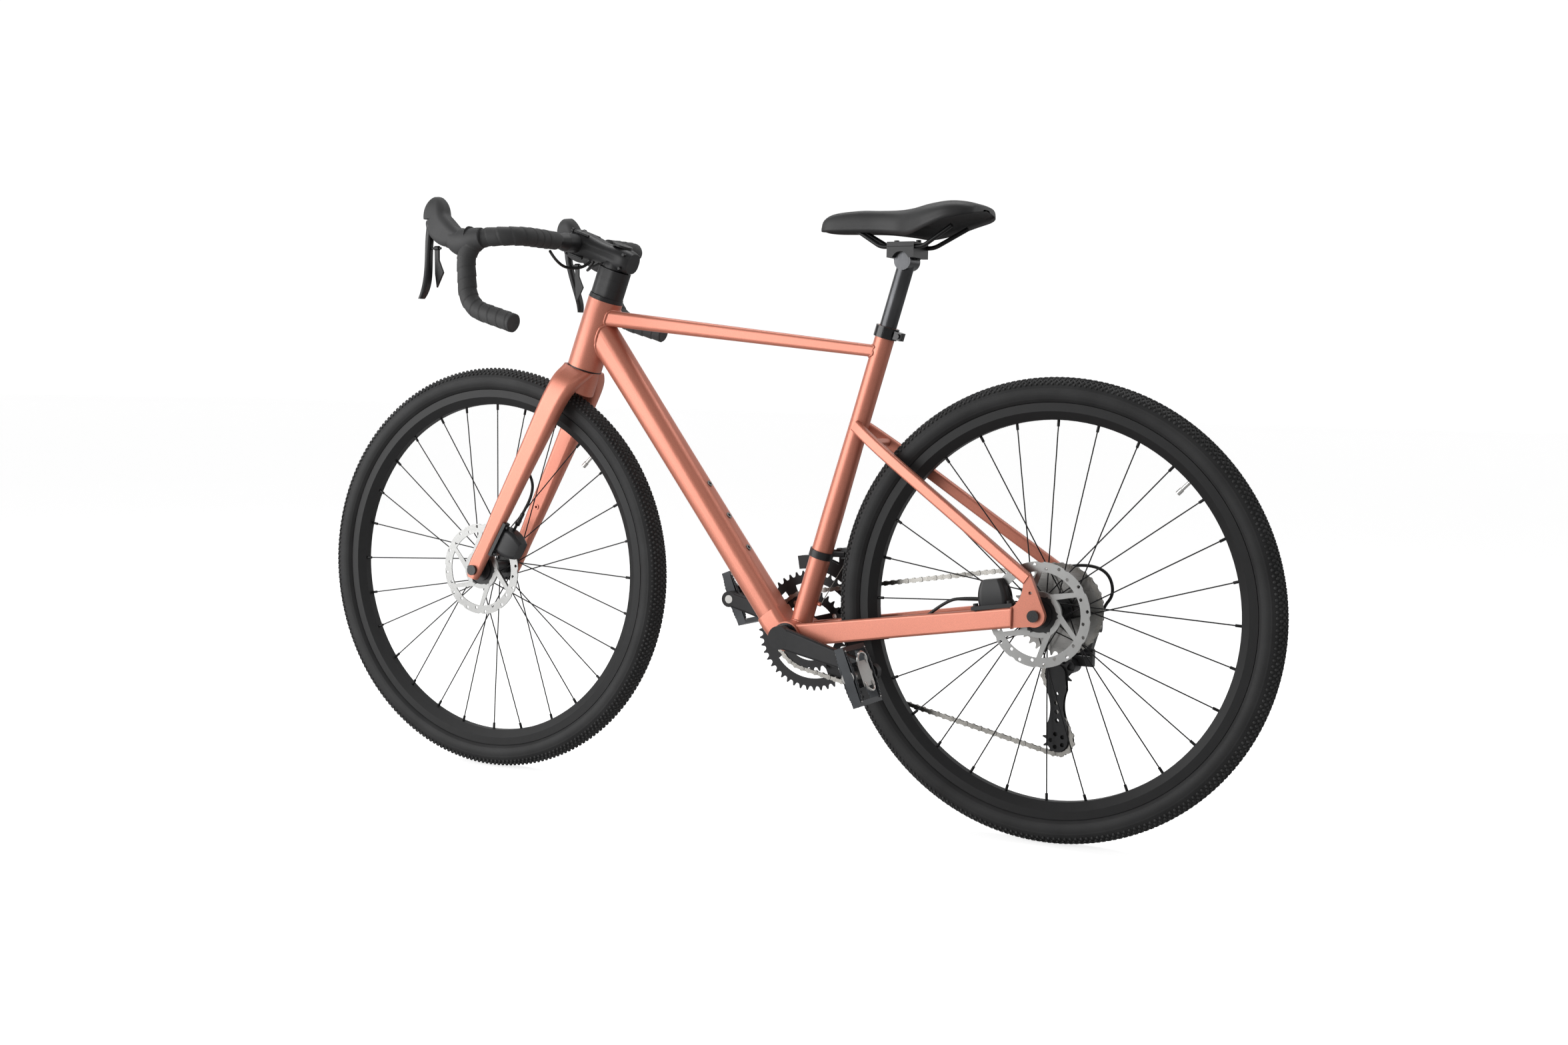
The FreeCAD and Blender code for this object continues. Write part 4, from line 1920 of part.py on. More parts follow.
plate_half = size.cage_plate / 2
inner_plane = -size.cage_inner_offset
outer_plane = -size.cage_outer_offset
CAGE_BRIDGE_SHARES = (0.27, 0.63)
cage_outline = sector(crank_axle, size.cage_low_radius, size.cage_high_radius, size.cage_front_angle,
                      size.cage_rear_angle)
rear_radius, front_radius = [between(size.cage_low_radius, size.cage_high_radius, share)
                             for share in CAGE_BRIDGE_SHARES]
rear_bridge = sector(crank_axle, size.cage_low_radius, rear_radius, size.rear_bridge_angle, size.cage_rear_angle)
front_bridge = sector(crank_axle, front_radius, size.cage_high_radius, size.front_bridge_start_angle,
                      size.front_bridge_end_angle)
arm_half = size.swing_arm_width / 2 - size.joint_gap
arm_low = on_wheel(crank_axle, size.cage_high_radius - size.swing_eye_radius, size.swing_arm_angle,
                   inner_plane)
swing_arm = block(Vector(swing.x - arm_half, inner_plane - plate_half, arm_low.z),
                  Vector(swing.x + arm_half, inner_plane + size.cage_plate, swing.z))
swing_top = block(Vector(swing.x - arm_half, inner_plane - plate_half, swing.z - size.swing_eye_radius),
                  Vector(swing.x + arm_half, swing.y, swing.z + size.swing_eye_radius))
swing_eye = rod(swing - AHEAD * arm_half, swing + AHEAD * arm_half, size.swing_eye_radius)
cage = flat(cage_outline, inner_plane - plate_half, inner_plane + plate_half).fuse([
    flat(cage_outline, outer_plane - plate_half, outer_plane + plate_half),
    flat(rear_bridge, outer_plane, inner_plane), flat(front_bridge, outer_plane, inner_plane),
    swing_arm, swing_top, swing_eye,
]).removeSplitter()
shaped("front_derailleur_cage", biggest(cage.cut(rod(block_middle, swing + AHEAD * size.derailleur_block * 2,
                                                     size.swing_pin_radius + size.fit_gap))))


# Rear derailleur: knuckle, link, foot, cage and pulleys

link_top = rear_axle - AHEAD * size.link_top_back - SIDE * size.link_top_side - UP * size.link_top_drop
link_low = Vector(link_top.x, -size.link_low_side, rear_axle.z - size.link_low_drop)
half_link = AHEAD * size.link_width / 2
ear_start = half_link + AHEAD * size.joint_gap
ear_end = ear_start + AHEAD * size.link_ear
ear_round = size.link_round + size.fit_gap
bridge_gap = size.link_round + 2 * size.joint_gap


def ears(pivot, rise):
    """Two eyes beside a link and the bridge that joins them, above or below it."""
    pieces = [rod(pivot + ear_start, pivot + ear_end, ear_round),
              rod(pivot - ear_end, pivot - ear_start, ear_round)]
    low, high = sorted((rise * bridge_gap, rise * (bridge_gap + size.link_ear)))
    pieces.append(block(pivot - ear_end + Vector(0, -ear_round, low), pivot + ear_end + Vector(0, ear_round, high)))
    for start, end in ((ear_start, ear_end), (ear_end * -1, ear_start * -1)):
        low, high = sorted((0, rise * (bridge_gap + size.link_ear)))
        pieces.append(block(pivot + start + Vector(0, -ear_round, low), pivot + end + Vector(0, ear_round, high)))
    pieces.append(rod(pivot - ear_end, pivot + ear_end, size.link_pin_radius))
    return pieces


knuckle_high = -dropout_outside - size.joint_gap
knuckle_low = knuckle_high - size.knuckle_length
hanger_bolt = across(hanger, size.hanger_bolt_radius, knuckle_low - size.link_ear, -size.dropout_inside)
knuckle_body = across(hanger, size.knuckle_radius, knuckle_low, knuckle_high)
knuckle_reach = block(Vector(link_top.x + ear_start.x, link_top.y - ear_round, link_top.z - ear_round),
                      Vector(hanger.x, link_top.y + ear_round, link_top.z + bridge_gap + size.link_ear))
knuckle = knuckle_body.fuse(ears(link_top, 1) + [hanger_bolt, knuckle_reach]).removeSplitter()
shaped("rear_derailleur_knuckle", biggest(knuckle))

link_bar = Part.Face(hull(link_top - half_link, size.link_round, link_low - half_link, size.link_round, AHEAD))
link_bar = link_bar.extrude(half_link * 2)
link_bores = []
for pivot in (link_top, link_low):
    link_bores.append(rod(pivot - ear_end, pivot + ear_end, size.link_pin_radius + size.fit_gap))
shaped("rear_derailleur_link", link_bar.cut(link_bores))

cage_pivot = rear_axle - AHEAD * size.cage_pivot_back - UP * size.cage_pivot_drop
plate_start = size.rear_cage_half_gap
plate_end = plate_start + size.rear_cage_plate
foot_inner = cassette_plane - plate_end - size.joint_gap * 2
foot_outer = link_low.y - ear_round
foot_drum = across(cage_pivot, size.cage_pivot_radius, foot_outer, foot_inner)
foot_reach = block(Vector(link_low.x - ear_end.x, foot_outer, cage_pivot.z),
                   Vector(cage_pivot.x, link_low.y + ear_round, link_low.z - bridge_gap))
foot = foot_drum.fuse(ears(link_low, -1) + [foot_reach]).removeSplitter()
foot_bore = across(cage_pivot, size.cage_pin_radius + size.fit_gap, foot_outer + size.link_ear, 0)
shaped("rear_derailleur_foot", biggest(foot.cut(foot_bore)))

CAGE_HOLE_SHARES = (0.3, 0.43, 0.57, 0.7)
cage_pieces = []
for low, high in ((-plate_end, -plate_start), (plate_start, plate_end)):
    low, high = cassette_plane + low, cassette_plane + high
    cage_pieces.append(flat(hull(guide_place, size.rear_cage_guide_round, tension_place,
                                 size.rear_cage_tension_round), low, high))
outer_face = cassette_plane - plate_end
cage_pieces.append(flat(hull(cage_pivot, size.cage_pivot_radius, guide_place, size.rear_cage_guide_round),
                        outer_face, cassette_plane - plate_start))
cage_pieces.append(across(cage_pivot, size.cage_pin_radius, foot_outer + size.link_ear * 2, outer_face))
cage_length = tension_place - guide_place
cage_square = cage_length.cross(SIDE).normalize()
cage_middle = (guide_place + tension_place) / 2
cage_span = (outer_face - over, cassette_plane + plate_end + over)
cage_cuts = []
for sign in (-1, 1):
    scallop = cage_middle + cage_square * sign * (size.rear_cage_waist / 2 + size.rear_cage_scallop)
    cage_cuts.append(across(scallop, size.rear_cage_scallop, *cage_span))
for share in CAGE_HOLE_SHARES:
    cage_cuts.append(across(guide_place + cage_length * share, size.rear_cage_hole, *cage_span))
for i in range(int(size.rear_cage_ring_holes)):
    ring_place = on_wheel(tension_place, size.rear_cage_ring, i * 360 / size.rear_cage_ring_holes, 0)
    cage_cuts.append(across(ring_place, size.rear_cage_hole, *cage_span))
for place in (guide_place, tension_place):
    cage_pieces.append(across(place, size.pulley_pin_radius, outer_face, cassette_plane + plate_end))
rear_cage = cage_pieces[0].fuse(cage_pieces[1:]).removeSplitter().cut(cage_cuts)
shaped("rear_derailleur_cage", biggest(rear_cage))
for label, place, owner in (("guide_pulley", guide_place, 2), ("tension_pulley", tension_place, 3)):
    pulley = toothed(place, int(size.pulley_teeth), phase_of(owner), cassette_plane - half_sprocket,
                     cassette_plane + half_sprocket)
    pulley = pulley.fuse(across(place, size.pulley_hub_radius, cassette_plane - size.pulley_half_hub,
                                cassette_plane + size.pulley_half_hub)).removeSplitter()
    pulley_bore = across(place, size.pulley_pin_radius + size.fit_gap, cassette_plane - over, cassette_plane + over)
    shaped(label, biggest(pulley.cut(pulley_bore)))


# Flat-mount brake calipers and the chainstays that carry the rear one

CALIPER_SHARES = ((0.0, 1.0, 1.0), (0.7, 1.0, 0.96), (1.0, 0.8, 0.7))


def caliper(axle, rotor_middle, place, base_side):
    """Base, body and bolts in a frame whose X runs along the mount and whose Z leaves it."""
    low_side = rotor_middle - size.caliper_width / 2 + size.caliper_slot_gap
    high_side = low_side + size.caliper_width
    lift = UP * size.joint_gap
    base = block(Vector(-size.caliper_base_length / 2, base_side - size.caliper_base_half, size.joint_gap),
                 Vector(size.caliper_base_length / 2, base_side + size.caliper_base_half,
                        size.joint_gap + size.caliper_base))
    middle_side = (low_side + high_side) / 2
    stations = []
    for rise_share, width_share, length_share in CALIPER_SHARES:
        centre = SIDE * middle_side + lift + UP * size.caliper_height * rise_share
        stations.append((centre, UP, size.caliper_width * width_share, size.caliper_length * length_share))
    body = loft(stations, BOX_ROUND_SHARE)
    bolts = []
    bores = []
    for sign in (1, -1):
        foot = AHEAD * sign * size.caliper_bolt_span / 2 + SIDE * base_side
        low = foot - UP * size.caliper_bolt_depth
        high = foot + UP * (size.joint_gap + size.caliper_base + size.bolt_head_height)
        seat = foot + UP * (size.joint_gap + size.caliper_base)
        bolts.append(rod(low, high, size.caliper_bolt_radius).fuse(
            rod(seat, high, size.bolt_head_radius)).removeSplitter())
        bores.append(rod(low - UP, high, size.caliper_bolt_radius + size.fit_gap))
        bores.append(rod(seat, high + UP * size.caliper_height, size.bolt_head_radius + size.joint_gap))
    form = base.fuse(body).removeSplitter().cut(bores)
    pieces = [form] + bolts
    for piece in pieces + bores:
        piece.Placement = place
    slot = size.caliper_slot / 2
    room = across(axle, size.rotor_radius + size.caliper_slot_gap, rotor_middle - slot, rotor_middle + slot)
    hub_room = across(axle, size.carrier_radius + size.caliper_slot_gap * 2, low_side - over, high_side + over)
    return [biggest(form.cut([room, hub_room]))] + bolts, bores


def chainstay_centre(x):
    """The middle of the left chainstay at a place along the bike."""
    cutter = block(Vector(x, 0, 0), Vector(x + size.fit_gap, size.dropout_inside * 2, size.tyre_radius * 2))
    return biggest(chainstay_outer.common(cutter)).CenterOfMass


rear_mount_x = rear_axle.x + size.rear_caliper_ahead
stay_fall = stay_front + UP * size.chainstay_front_height / 2 - stay_rear - UP * size.chainstay_rear_height / 2
mount_share = (stay_front.x - rear_mount_x) / (stay_front.x - stay_rear.x)
mount_top = between(stay_front, stay_rear, mount_share) + UP * between(
    size.chainstay_front_height, size.chainstay_rear_height, mount_share) / 2
mount_turn = turn_to(SIDE.cross(stay_fall).normalize() * -1, Vector(stay_fall).normalize())
rear_caliper, rear_bores = caliper(rear_axle, rear_rotor, FreeCAD.Placement(mount_top, mount_turn),
                                   chainstay_centre(rear_mount_x).y)
shaped("rear_brake_caliper", rear_caliper)
left_chainstay = biggest(chainstay_tube.cut(shell_outer))
shaped("chainstays", [biggest(left_chainstay.cut(rear_bores)), mirrored(left_chainstay)])



def blade_back(station):
    """The middle of the blade's rear face at one of its stations."""
    centre, along, width, depth = station
    return centre - AHEAD * depth / 2


rear_face_high, rear_face_low = [blade_back(blade_station(*row)) for row in FORK_SHARES[-4:-2]]
mount_local = between(rear_face_low, rear_face_high,
                      (size.front_caliper_height - rear_face_low.z) / (rear_face_high.z - rear_face_low.z))
mount_side = mount_local.y
mount_along = Vector(rear_face_high.x - rear_face_low.x, 0, rear_face_high.z - rear_face_low.z).normalize()
mount_out = SIDE.cross(mount_along) * -1
front_place = FreeCAD.Placement(Vector(mount_local.x, 0, mount_local.z), turn_to(mount_out, mount_along))
front_caliper, front_bores = caliper(front_axle, front_rotor, STEERING.multiply(front_place), mount_side)
shaped("front_brake_caliper", front_caliper)
fork_shape = fork_form.cut([tyre_room, axle_hole, steerer_hole])
shaped("fork", biggest(steering(biggest(fork_shape)).cut(front_bores)))


# Wires, hoses and housings

gear_boss = crank_axle + seat_up * size.wire_boss_along - seat_ahead * size.seat_tube_low_radius
boss_end = gear_boss - seat_ahead * size.wire_boss_height
wire_boss = rod(gear_boss - seat_ahead * size.joint_gap, boss_end, size.wire_boss_radius)
wire_top = block_middle - UP * (size.derailleur_block_height / 2 + 2 * size.joint_gap)
front_wire = rod(boss_end + seat_ahead * size.wire_boss_height / 2, wire_top, size.wire_radius).cut(wire_boss)

# Gear housing, from the seatstay round to the rear derailleur: points from the rear axle
GEAR_HOUSING = ((20, -84, 58), (-12, -87, 68), (-56, -89, 60), (-68, -91.5, 24), (-48.3, -92, -1), (-46.3, -92, -20.8))
housing = hose([rear_axle + Vector(*point) for point in GEAR_HOUSING], size.hose_radius)

# Brake hose, from the chainstay to the rear caliper: points from the front of the caliper's foot
BRAKE_HOSE = ((0.6, 51, 15), (26, 52, 15), (66, 51, 8))
caliper_front = mount_top + Vector(stay_fall).normalize() * size.caliper_length / 2
hose_points = [caliper_front + Vector(*point) for point in BRAKE_HOSE]
hose_points.append(chainstay_centre(caliper_front.x + size.brake_hose_run))
brake_hose = biggest(hose(hose_points, size.hose_radius).cut([chainstay_outer, rear_caliper[0]]))
shaped("frame_cables", [wire_boss, front_wire, housing, brake_hose])

# Cockpit hoses, from the tape to the underside of the stem: points from the middle of the bar, left side
COCKPIT_HOSE = ((1, 92, -18.6), (9, 62, -24), (4, 30, -42))
STEM_PORT_SHARE = 0.62
cockpit = []
for side, sign in SIDES:
    points = [bar_centre + Vector(ahead, sign * side, rise) for ahead, side, rise in COCKPIT_HOSE]
    port = steered(size.stem_reach * STEM_PORT_SHARE, stem_low - size.stem_drop, sign * size.hose_radius * 2)
    points.append(port - head_up * size.stem_height / 2)
    points.append(port - head_up * size.joint_gap)
    cockpit.append(hose(points, size.hose_radius))
shaped("cockpit_hoses", cockpit)


# Check every object, then write each piece

def finish():
    doc.recompute()
    for thing in doc.Objects:
        if "Invalid" in thing.State or "Error" in thing.State:
            raise RuntimeError(f"{thing.Label} failed: {thing.State}")
    os.makedirs("parts", exist_ok=True)
    for thing in nodes:
        shape = thing.Shape
        if shape.isNull() or not shape.isValid():
            raise RuntimeError(f"{thing.Label} has no valid shape")
        shape.exportStep(f"parts/{thing.Label}.step")
        print(thing.Label, len(shape.Solids), round(shape.Volume / 1000, 1), "cm3")


finish()
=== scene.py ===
# %% [markdown]
# A gravel bike, dressed over its CAD frame. The CAD part gives every rigid piece its place and its
# joints. Here each surface gets its finish, and the tyres, the bar tape, the saddle, the hoses and the
# weld beads are made again with the detail that a plain solid lacks. X points to the front wheel, Y to
# the rider's left and Z up. The scene is in metres; tables of sizes are in millimetres.

import math

import bmesh
import bpy
import numpy as np
from mathutils import Matrix


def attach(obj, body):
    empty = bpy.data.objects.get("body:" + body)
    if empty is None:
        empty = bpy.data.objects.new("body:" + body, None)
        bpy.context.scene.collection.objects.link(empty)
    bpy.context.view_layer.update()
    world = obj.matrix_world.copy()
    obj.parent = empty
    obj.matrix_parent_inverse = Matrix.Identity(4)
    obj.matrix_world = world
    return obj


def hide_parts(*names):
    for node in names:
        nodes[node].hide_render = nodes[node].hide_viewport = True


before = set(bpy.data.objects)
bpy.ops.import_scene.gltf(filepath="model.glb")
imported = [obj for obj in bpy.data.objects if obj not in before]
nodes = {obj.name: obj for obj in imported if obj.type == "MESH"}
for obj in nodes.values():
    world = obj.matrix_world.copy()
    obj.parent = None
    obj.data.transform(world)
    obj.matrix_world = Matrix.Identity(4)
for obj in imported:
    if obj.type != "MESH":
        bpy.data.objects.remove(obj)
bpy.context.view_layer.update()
MM = 0.001  # metres in a millimetre
SIDES = (("left", 1), ("right", -1))

# %% [markdown]
# A surface is a grid of points: one index runs along the piece and the other around it. The helpers here
# turn such a grid into a mesh. Building it point by point would be slow, so the faces are index arithmetic
# on whole arrays. Knobs and pins repeat by the hundred, so they share one plain form, a six-sided stud.

# %% Grids become meshes


def grid_faces(rows, columns, wrap_rows=False, wrap_columns=False):
    """Quads between neighbouring grid points; a wrapped direction joins its last line to its first."""
    i, j = np.meshgrid(np.arange(rows if wrap_rows else rows - 1),
                       np.arange(columns if wrap_columns else columns - 1), indexing="ij")
    i, j = i.ravel(), j.ravel()
    i2, j2 = (i + 1) % rows, (j + 1) % columns
    return np.stack([i * columns + j, i2 * columns + j, i2 * columns + j2, i * columns + j2], axis=1)


STUD_SIDES, STUD_RINGS = 6, 3
STUD_POINTS = STUD_SIDES * STUD_RINGS


def stud_faces(count, start):
    """Walls, tops and feet of studs whose points follow each other, ring by ring, from a start index."""
    base = start + np.arange(count)[:, None] * STUD_POINTS
    walls = base[:, None] + grid_faces(STUD_RINGS, STUD_SIDES, False, True)
    tops = base + np.arange(STUD_POINTS - STUD_SIDES, STUD_POINTS)
    return [walls.reshape(-1, 4), tops, base + np.arange(STUD_SIDES)]


def make_piece(name, points, faces):
    """Mesh object at the origin from an array of points and arrays of face corners."""
    mesh = bpy.data.meshes.new(name)
    mesh.from_pydata(points.tolist(), [], [face for group in faces for face in group.tolist()])
    mesh.validate()
    mesh.shade_smooth()
    piece = bpy.data.objects.new(name, mesh)
    bpy.context.scene.collection.objects.link(piece)
    print(name, len(mesh.vertices), "points", len(mesh.polygons), "faces")
    return piece


def face_outwards(piece):
    """Merge doubled points, then turn every face outwards."""
    work = bmesh.new()
    work.from_mesh(piece.data)
    bmesh.ops.remove_doubles(work, verts=work.verts, dist=1e-6)
    bmesh.ops.recalc_face_normals(work, faces=work.faces)
    work.to_mesh(piece.data)
    work.free()
    return piece


def unit(vectors):
    """Each vector divided by its own length."""
    return vectors / np.linalg.norm(vectors, axis=-1, keepdims=True)


def smooth_line(points, count):
    """Catmull-Rom curve: between two points it follows a cubic set by them and their neighbours."""
    points = np.asarray(points, float)
    padded = np.vstack([2 * points[0] - points[1], points, 2 * points[-1] - points[-2]])
    t = np.linspace(0, len(points) - 1 - 1e-9, count)
    k = t.astype(int)
    t = (t - k)[:, None]
    a, b, c, d = (padded[k + n] for n in range(4))
    return 0.5 * (2 * b + (c - a) * t + (2 * a - 5 * b + 4 * c - d) * t ** 2 + (3 * b - a - 3 * c + d) * t ** 3)


def tube_points(path, radius, around, reference):
    """Rings around a path: centre plus radius times (cos, sin) in the plane across the path."""
    along = unit(np.gradient(path, axis=0))
    across = unit(reference - (along @ reference)[:, None] * along)
    third = np.cross(along, across)
    angle = np.linspace(0, 2 * np.pi, around, endpoint=False)
    radius = np.broadcast_to(radius, (len(path), around))
    return (path[:, None] + radius[..., None] * (np.cos(angle)[None, :, None] * across[:, None]
                                                 + np.sin(angle)[None, :, None] * third[:, None]))


# %% [markdown]
# The finishes share three effects, so each is a node group: a fine grain with the slow drift of tone that
# every real surface has, cells for leather and paint flakes, and a brushed streak for metal. A group gives
# out only values that change over the surface; the shader with its fixed numbers stays in each material.

# %% Shared effects


def new_group(name, inputs, outputs):
    """An empty group with named sockets, and its nodes for what comes in and what goes out."""
    group = bpy.data.node_groups.new(name, "ShaderNodeTree")
    for title, kind, value in inputs:
        socket = group.interface.new_socket(name=title, in_out="INPUT", socket_type=kind)
        if value is not None:
            socket.default_value = value
    for title, kind in outputs:
        group.interface.new_socket(name=title, in_out="OUTPUT", socket_type=kind)
    return group, group.nodes.new("NodeGroupInput"), group.nodes.new("NodeGroupOutput")


def grain_group():
    """Fine: noise at the grain's scale. Drift: noise forty times slower."""
    group, given, out = new_group("grain", [("Vector", "NodeSocketVector", None),
                                            ("Scale", "NodeSocketFloat", 1200.0)],
                                  [("Fine", "NodeSocketFloat"), ("Drift", "NodeSocketFloat")])
    fine = group.nodes.new("ShaderNodeTexNoise")
    fine.inputs["Detail"].default_value = 3
    slow = group.nodes.new("ShaderNodeMath")
    slow.operation = "DIVIDE"
    slow.inputs[1].default_value = 40
    drift = group.nodes.new("ShaderNodeTexNoise")
    drift.inputs["Detail"].default_value = 2
    link = group.links.new
    link(given.outputs["Vector"], fine.inputs["Vector"])
    link(given.outputs["Scale"], fine.inputs["Scale"])
    link(given.outputs["Scale"], slow.inputs[0])
    link(given.outputs["Vector"], drift.inputs["Vector"])
    link(slow.outputs[0], drift.inputs["Scale"])
    link(fine.outputs[0], out.inputs["Fine"])
    link(drift.outputs[0], out.inputs["Drift"])
    return group


def cells_group():
    """Cells: distance to the nearest of many scattered points, which reads as leather grain or flakes."""
    group, given, out = new_group("cells", [("Vector", "NodeSocketVector", None),
                                            ("Scale", "NodeSocketFloat", 600.0)],
                                  [("Height", "NodeSocketFloat"), ("Tone", "NodeSocketFloat")])
    cells = group.nodes.new("ShaderNodeTexVoronoi")
    apart = group.nodes.new("ShaderNodeSeparateColor")
    link = group.links.new
    link(given.outputs["Vector"], cells.inputs["Vector"])
    link(given.outputs["Scale"], cells.inputs["Scale"])
    link(cells.outputs["Distance"], out.inputs["Height"])
    link(cells.outputs["Color"], apart.inputs[0])
    link(apart.outputs[0], out.inputs["Tone"])
    return group


def streak_group():
    """Streak: noise stretched along one axis by the given stretch, as brushing leaves it."""
    group, given, out = new_group("streak", [("Vector", "NodeSocketVector", None),
                                             ("Stretch", "NodeSocketVector", (30.0, 900.0, 900.0))],
                                  [("Streak", "NodeSocketFloat")])
    stretch = group.nodes.new("ShaderNodeVectorMath")
    stretch.operation = "MULTIPLY"
    noise = group.nodes.new("ShaderNodeTexNoise")
    noise.inputs["Scale"].default_value = 1
    noise.inputs["Detail"].default_value = 2
    link = group.links.new
    link(given.outputs["Vector"], stretch.inputs[0])
    link(given.outputs["Stretch"], stretch.inputs[1])
    link(stretch.outputs[0], noise.inputs["Vector"])
    link(noise.outputs[0], out.inputs["Streak"])
    return group


GRAIN, CELLS, STREAK = grain_group(), cells_group(), streak_group()
print("shared effects", [group.name for group in (GRAIN, CELLS, STREAK)])

# %% [markdown]
# Every finish starts from one recipe: a colour that drifts a little, a roughness that follows the
# grain, and a shallow bump. What differs between paint, rubber and metal is the scale and the depth.

# %% The finish recipe


def use_group(tree, group, place, title, value):
    """A node that runs a shared effect at the given coordinates, with one value set."""
    node = tree.nodes.new("ShaderNodeGroup")
    node.node_tree = group
    node.inputs[title].default_value = value
    tree.links.new(place, node.inputs["Vector"])
    return node.outputs


def map_range(tree, given, low, high, to_low, to_high):
    """A straight line from one pair of values to another, held at both ends."""
    node = tree.nodes.new("ShaderNodeMapRange")
    values = (("From Min", low), ("From Max", high), ("To Min", to_low), ("To Max", to_high))
    for title, value in values:
        node.inputs[title].default_value = value
    tree.links.new(given, node.inputs["Value"])
    return node.outputs["Result"]


def finish(name, colour, rough, metal=0.0, scale=1200.0, drift=0.12, spread=0.08, bump=0.15, depth=0.0002,
           cells=None, streak=None, coat=0.0, coat_rough=0.2, specular=0.5):
    """Principled surface; cells or streak replace the plain grain as the source of bump and roughness."""
    material = bpy.data.materials.new(name)
    material.use_nodes = True
    tree = material.node_tree
    link = tree.links.new
    shader = tree.nodes["Principled BSDF"]
    shader.inputs["Metallic"].default_value = metal
    shader.inputs["Coat Weight"].default_value = coat
    shader.inputs["Coat Roughness"].default_value = coat_rough
    shader.inputs["Specular IOR Level"].default_value = specular
    place = tree.nodes.new("ShaderNodeTexCoord").outputs["Object"]
    grain = use_group(tree, GRAIN, place, "Scale", scale)
    source, tone = grain["Fine"], grain["Drift"]
    if cells:
        made = use_group(tree, CELLS, place, "Scale", cells)
        source = made["Height"]
        tone = made["Tone"] if metal else tone
    if streak:
        source = use_group(tree, STREAK, place, "Stretch", streak)["Streak"]
    ramp = tree.nodes.new("ShaderNodeValToRGB")
    ramp.color_ramp.elements[0].position = 0.25
    ramp.color_ramp.elements[1].position = 0.75
    for element, share in zip(ramp.color_ramp.elements, (1 - drift, 1 + drift)):
        element.color = [min(1.0, c * share) for c in colour] + [1.0]
    link(tone, ramp.inputs["Fac"])
    link(ramp.outputs["Color"], shader.inputs["Base Color"])
    wander = map_range(tree, source, 0.2, 0.8, max(0.02, rough - spread), min(1.0, rough + spread))
    link(wander, shader.inputs["Roughness"])
    relief = tree.nodes.new("ShaderNodeBump")
    relief.inputs["Strength"].default_value = bump
    relief.inputs["Distance"].default_value = depth
    link(source, relief.inputs["Height"])
    link(relief.outputs["Normal"], shader.inputs["Normal"])
    return material


# %% [markdown]
# The palette. The frame's paint is a copper with fine metal flakes under a thin clear coat. Almost everything
# else is black, and what tells the pieces apart is how dark, how rough and how grainy each black is.

# %% The palette
copper_paint = finish("copper_paint", (0.57, 0.198, 0.132), 0.42, metal=0.5, cells=2600.0, drift=0.10, spread=0.04,
                      bump=0.02, depth=0.00005, coat=0.3, coat_rough=0.3)
satin_black = finish("satin_black", (0.016, 0.016, 0.017), 0.42, scale=2400.0, bump=0.06, depth=0.00008, specular=0.4)
gloss_black = finish("gloss_black", (0.008, 0.008, 0.009), 0.26, scale=1500.0, bump=0.03, depth=0.00005, specular=0.4,
                     coat=0.2)
rim_black = finish("rim_black", (0.009, 0.009, 0.0095), 0.5, scale=2000.0, bump=0.06, depth=0.00008, specular=0.3)
crank_black = finish("crank_black", (0.016, 0.016, 0.017), 0.5, metal=0.2, scale=3000.0, bump=0.1, depth=0.0001,
                     specular=0.35)
pedal_grey = finish("pedal_grey", (0.045, 0.048, 0.052), 0.4, metal=0.6, scale=900.0, drift=0.2, bump=0.12,
                    depth=0.0002)
spoke_black = finish("spoke_black", (0.006, 0.006, 0.0065), 0.4, scale=1500.0, bump=0.02, specular=0.25)
brushed_steel = finish("brushed_steel", (0.30, 0.295, 0.285), 0.33, metal=1.0, streak=(40.0, 1400.0, 1400.0),
                       drift=0.1, spread=0.1, bump=0.05, depth=0.00005)
chain_steel = finish("chain_steel", (0.30, 0.29, 0.27), 0.34, metal=1.0, scale=800.0, drift=0.25, spread=0.12,
                     bump=0.05)
rotor_steel = finish("rotor_steel", (0.29, 0.29, 0.285), 0.38, metal=1.0, streak=(500.0, 60.0, 1500.0), drift=0.06,
                     spread=0.1, bump=0.04, depth=0.00004)
# The tyre's knobs are painted twice as light as its casing: a painted highlight on the knobs, and painted shade on
# the casing in the gaps between them.
casing_rubber_painted_shade = finish("casing_rubber_painted_shade", (0.022, 0.022, 0.0225), 0.6, scale=700.0, drift=0.25, bump=0.25, depth=0.0004,
                      specular=0.25)
knob_rubber_painted_highlight = finish("knob_rubber_painted_highlight", (0.044, 0.044, 0.0445), 0.82, scale=900.0, drift=0.3, bump=0.3, depth=0.0003,
                     specular=0.3)
hood_rubber = finish("hood_rubber", (0.044, 0.044, 0.045), 0.6, cells=1100.0, bump=0.1, depth=0.0001, specular=0.3)
tape_wrap = finish("tape_wrap", (0.046, 0.046, 0.0465), 0.66, cells=900.0, bump=0.2, depth=0.0002, specular=0.3)
saddle_vinyl = finish("saddle_vinyl", (0.027, 0.027, 0.0275), 0.52, cells=1300.0, bump=0.14, depth=0.00015,
                      specular=0.35)
moulded_plastic = finish("moulded_plastic", (0.016, 0.016, 0.0165), 0.5, scale=1800.0, bump=0.08, depth=0.0001,
                         specular=0.35)
post_alloy = finish("post_alloy", (0.075, 0.076, 0.080), 0.34, metal=0.85, streak=(900.0, 900.0, 25.0), drift=0.15,
                    spread=0.08, bump=0.04, depth=0.00005)
valve_silver = finish("valve_silver", (0.62, 0.61, 0.59), 0.25, metal=1.0, scale=1500.0, drift=0.08, bump=0.05)
hose_skin = finish("hose_skin", (0.008, 0.008, 0.0085), 0.4, scale=2000.0, bump=0.05, depth=0.00008, specular=0.35)
print("finishes", len(bpy.data.materials))

# %% [markdown]
# The CAD nodes whose shapes are right stay as they are and take their finish here. One table says which
# finish goes on which node, so a change of mind is a change of one line.

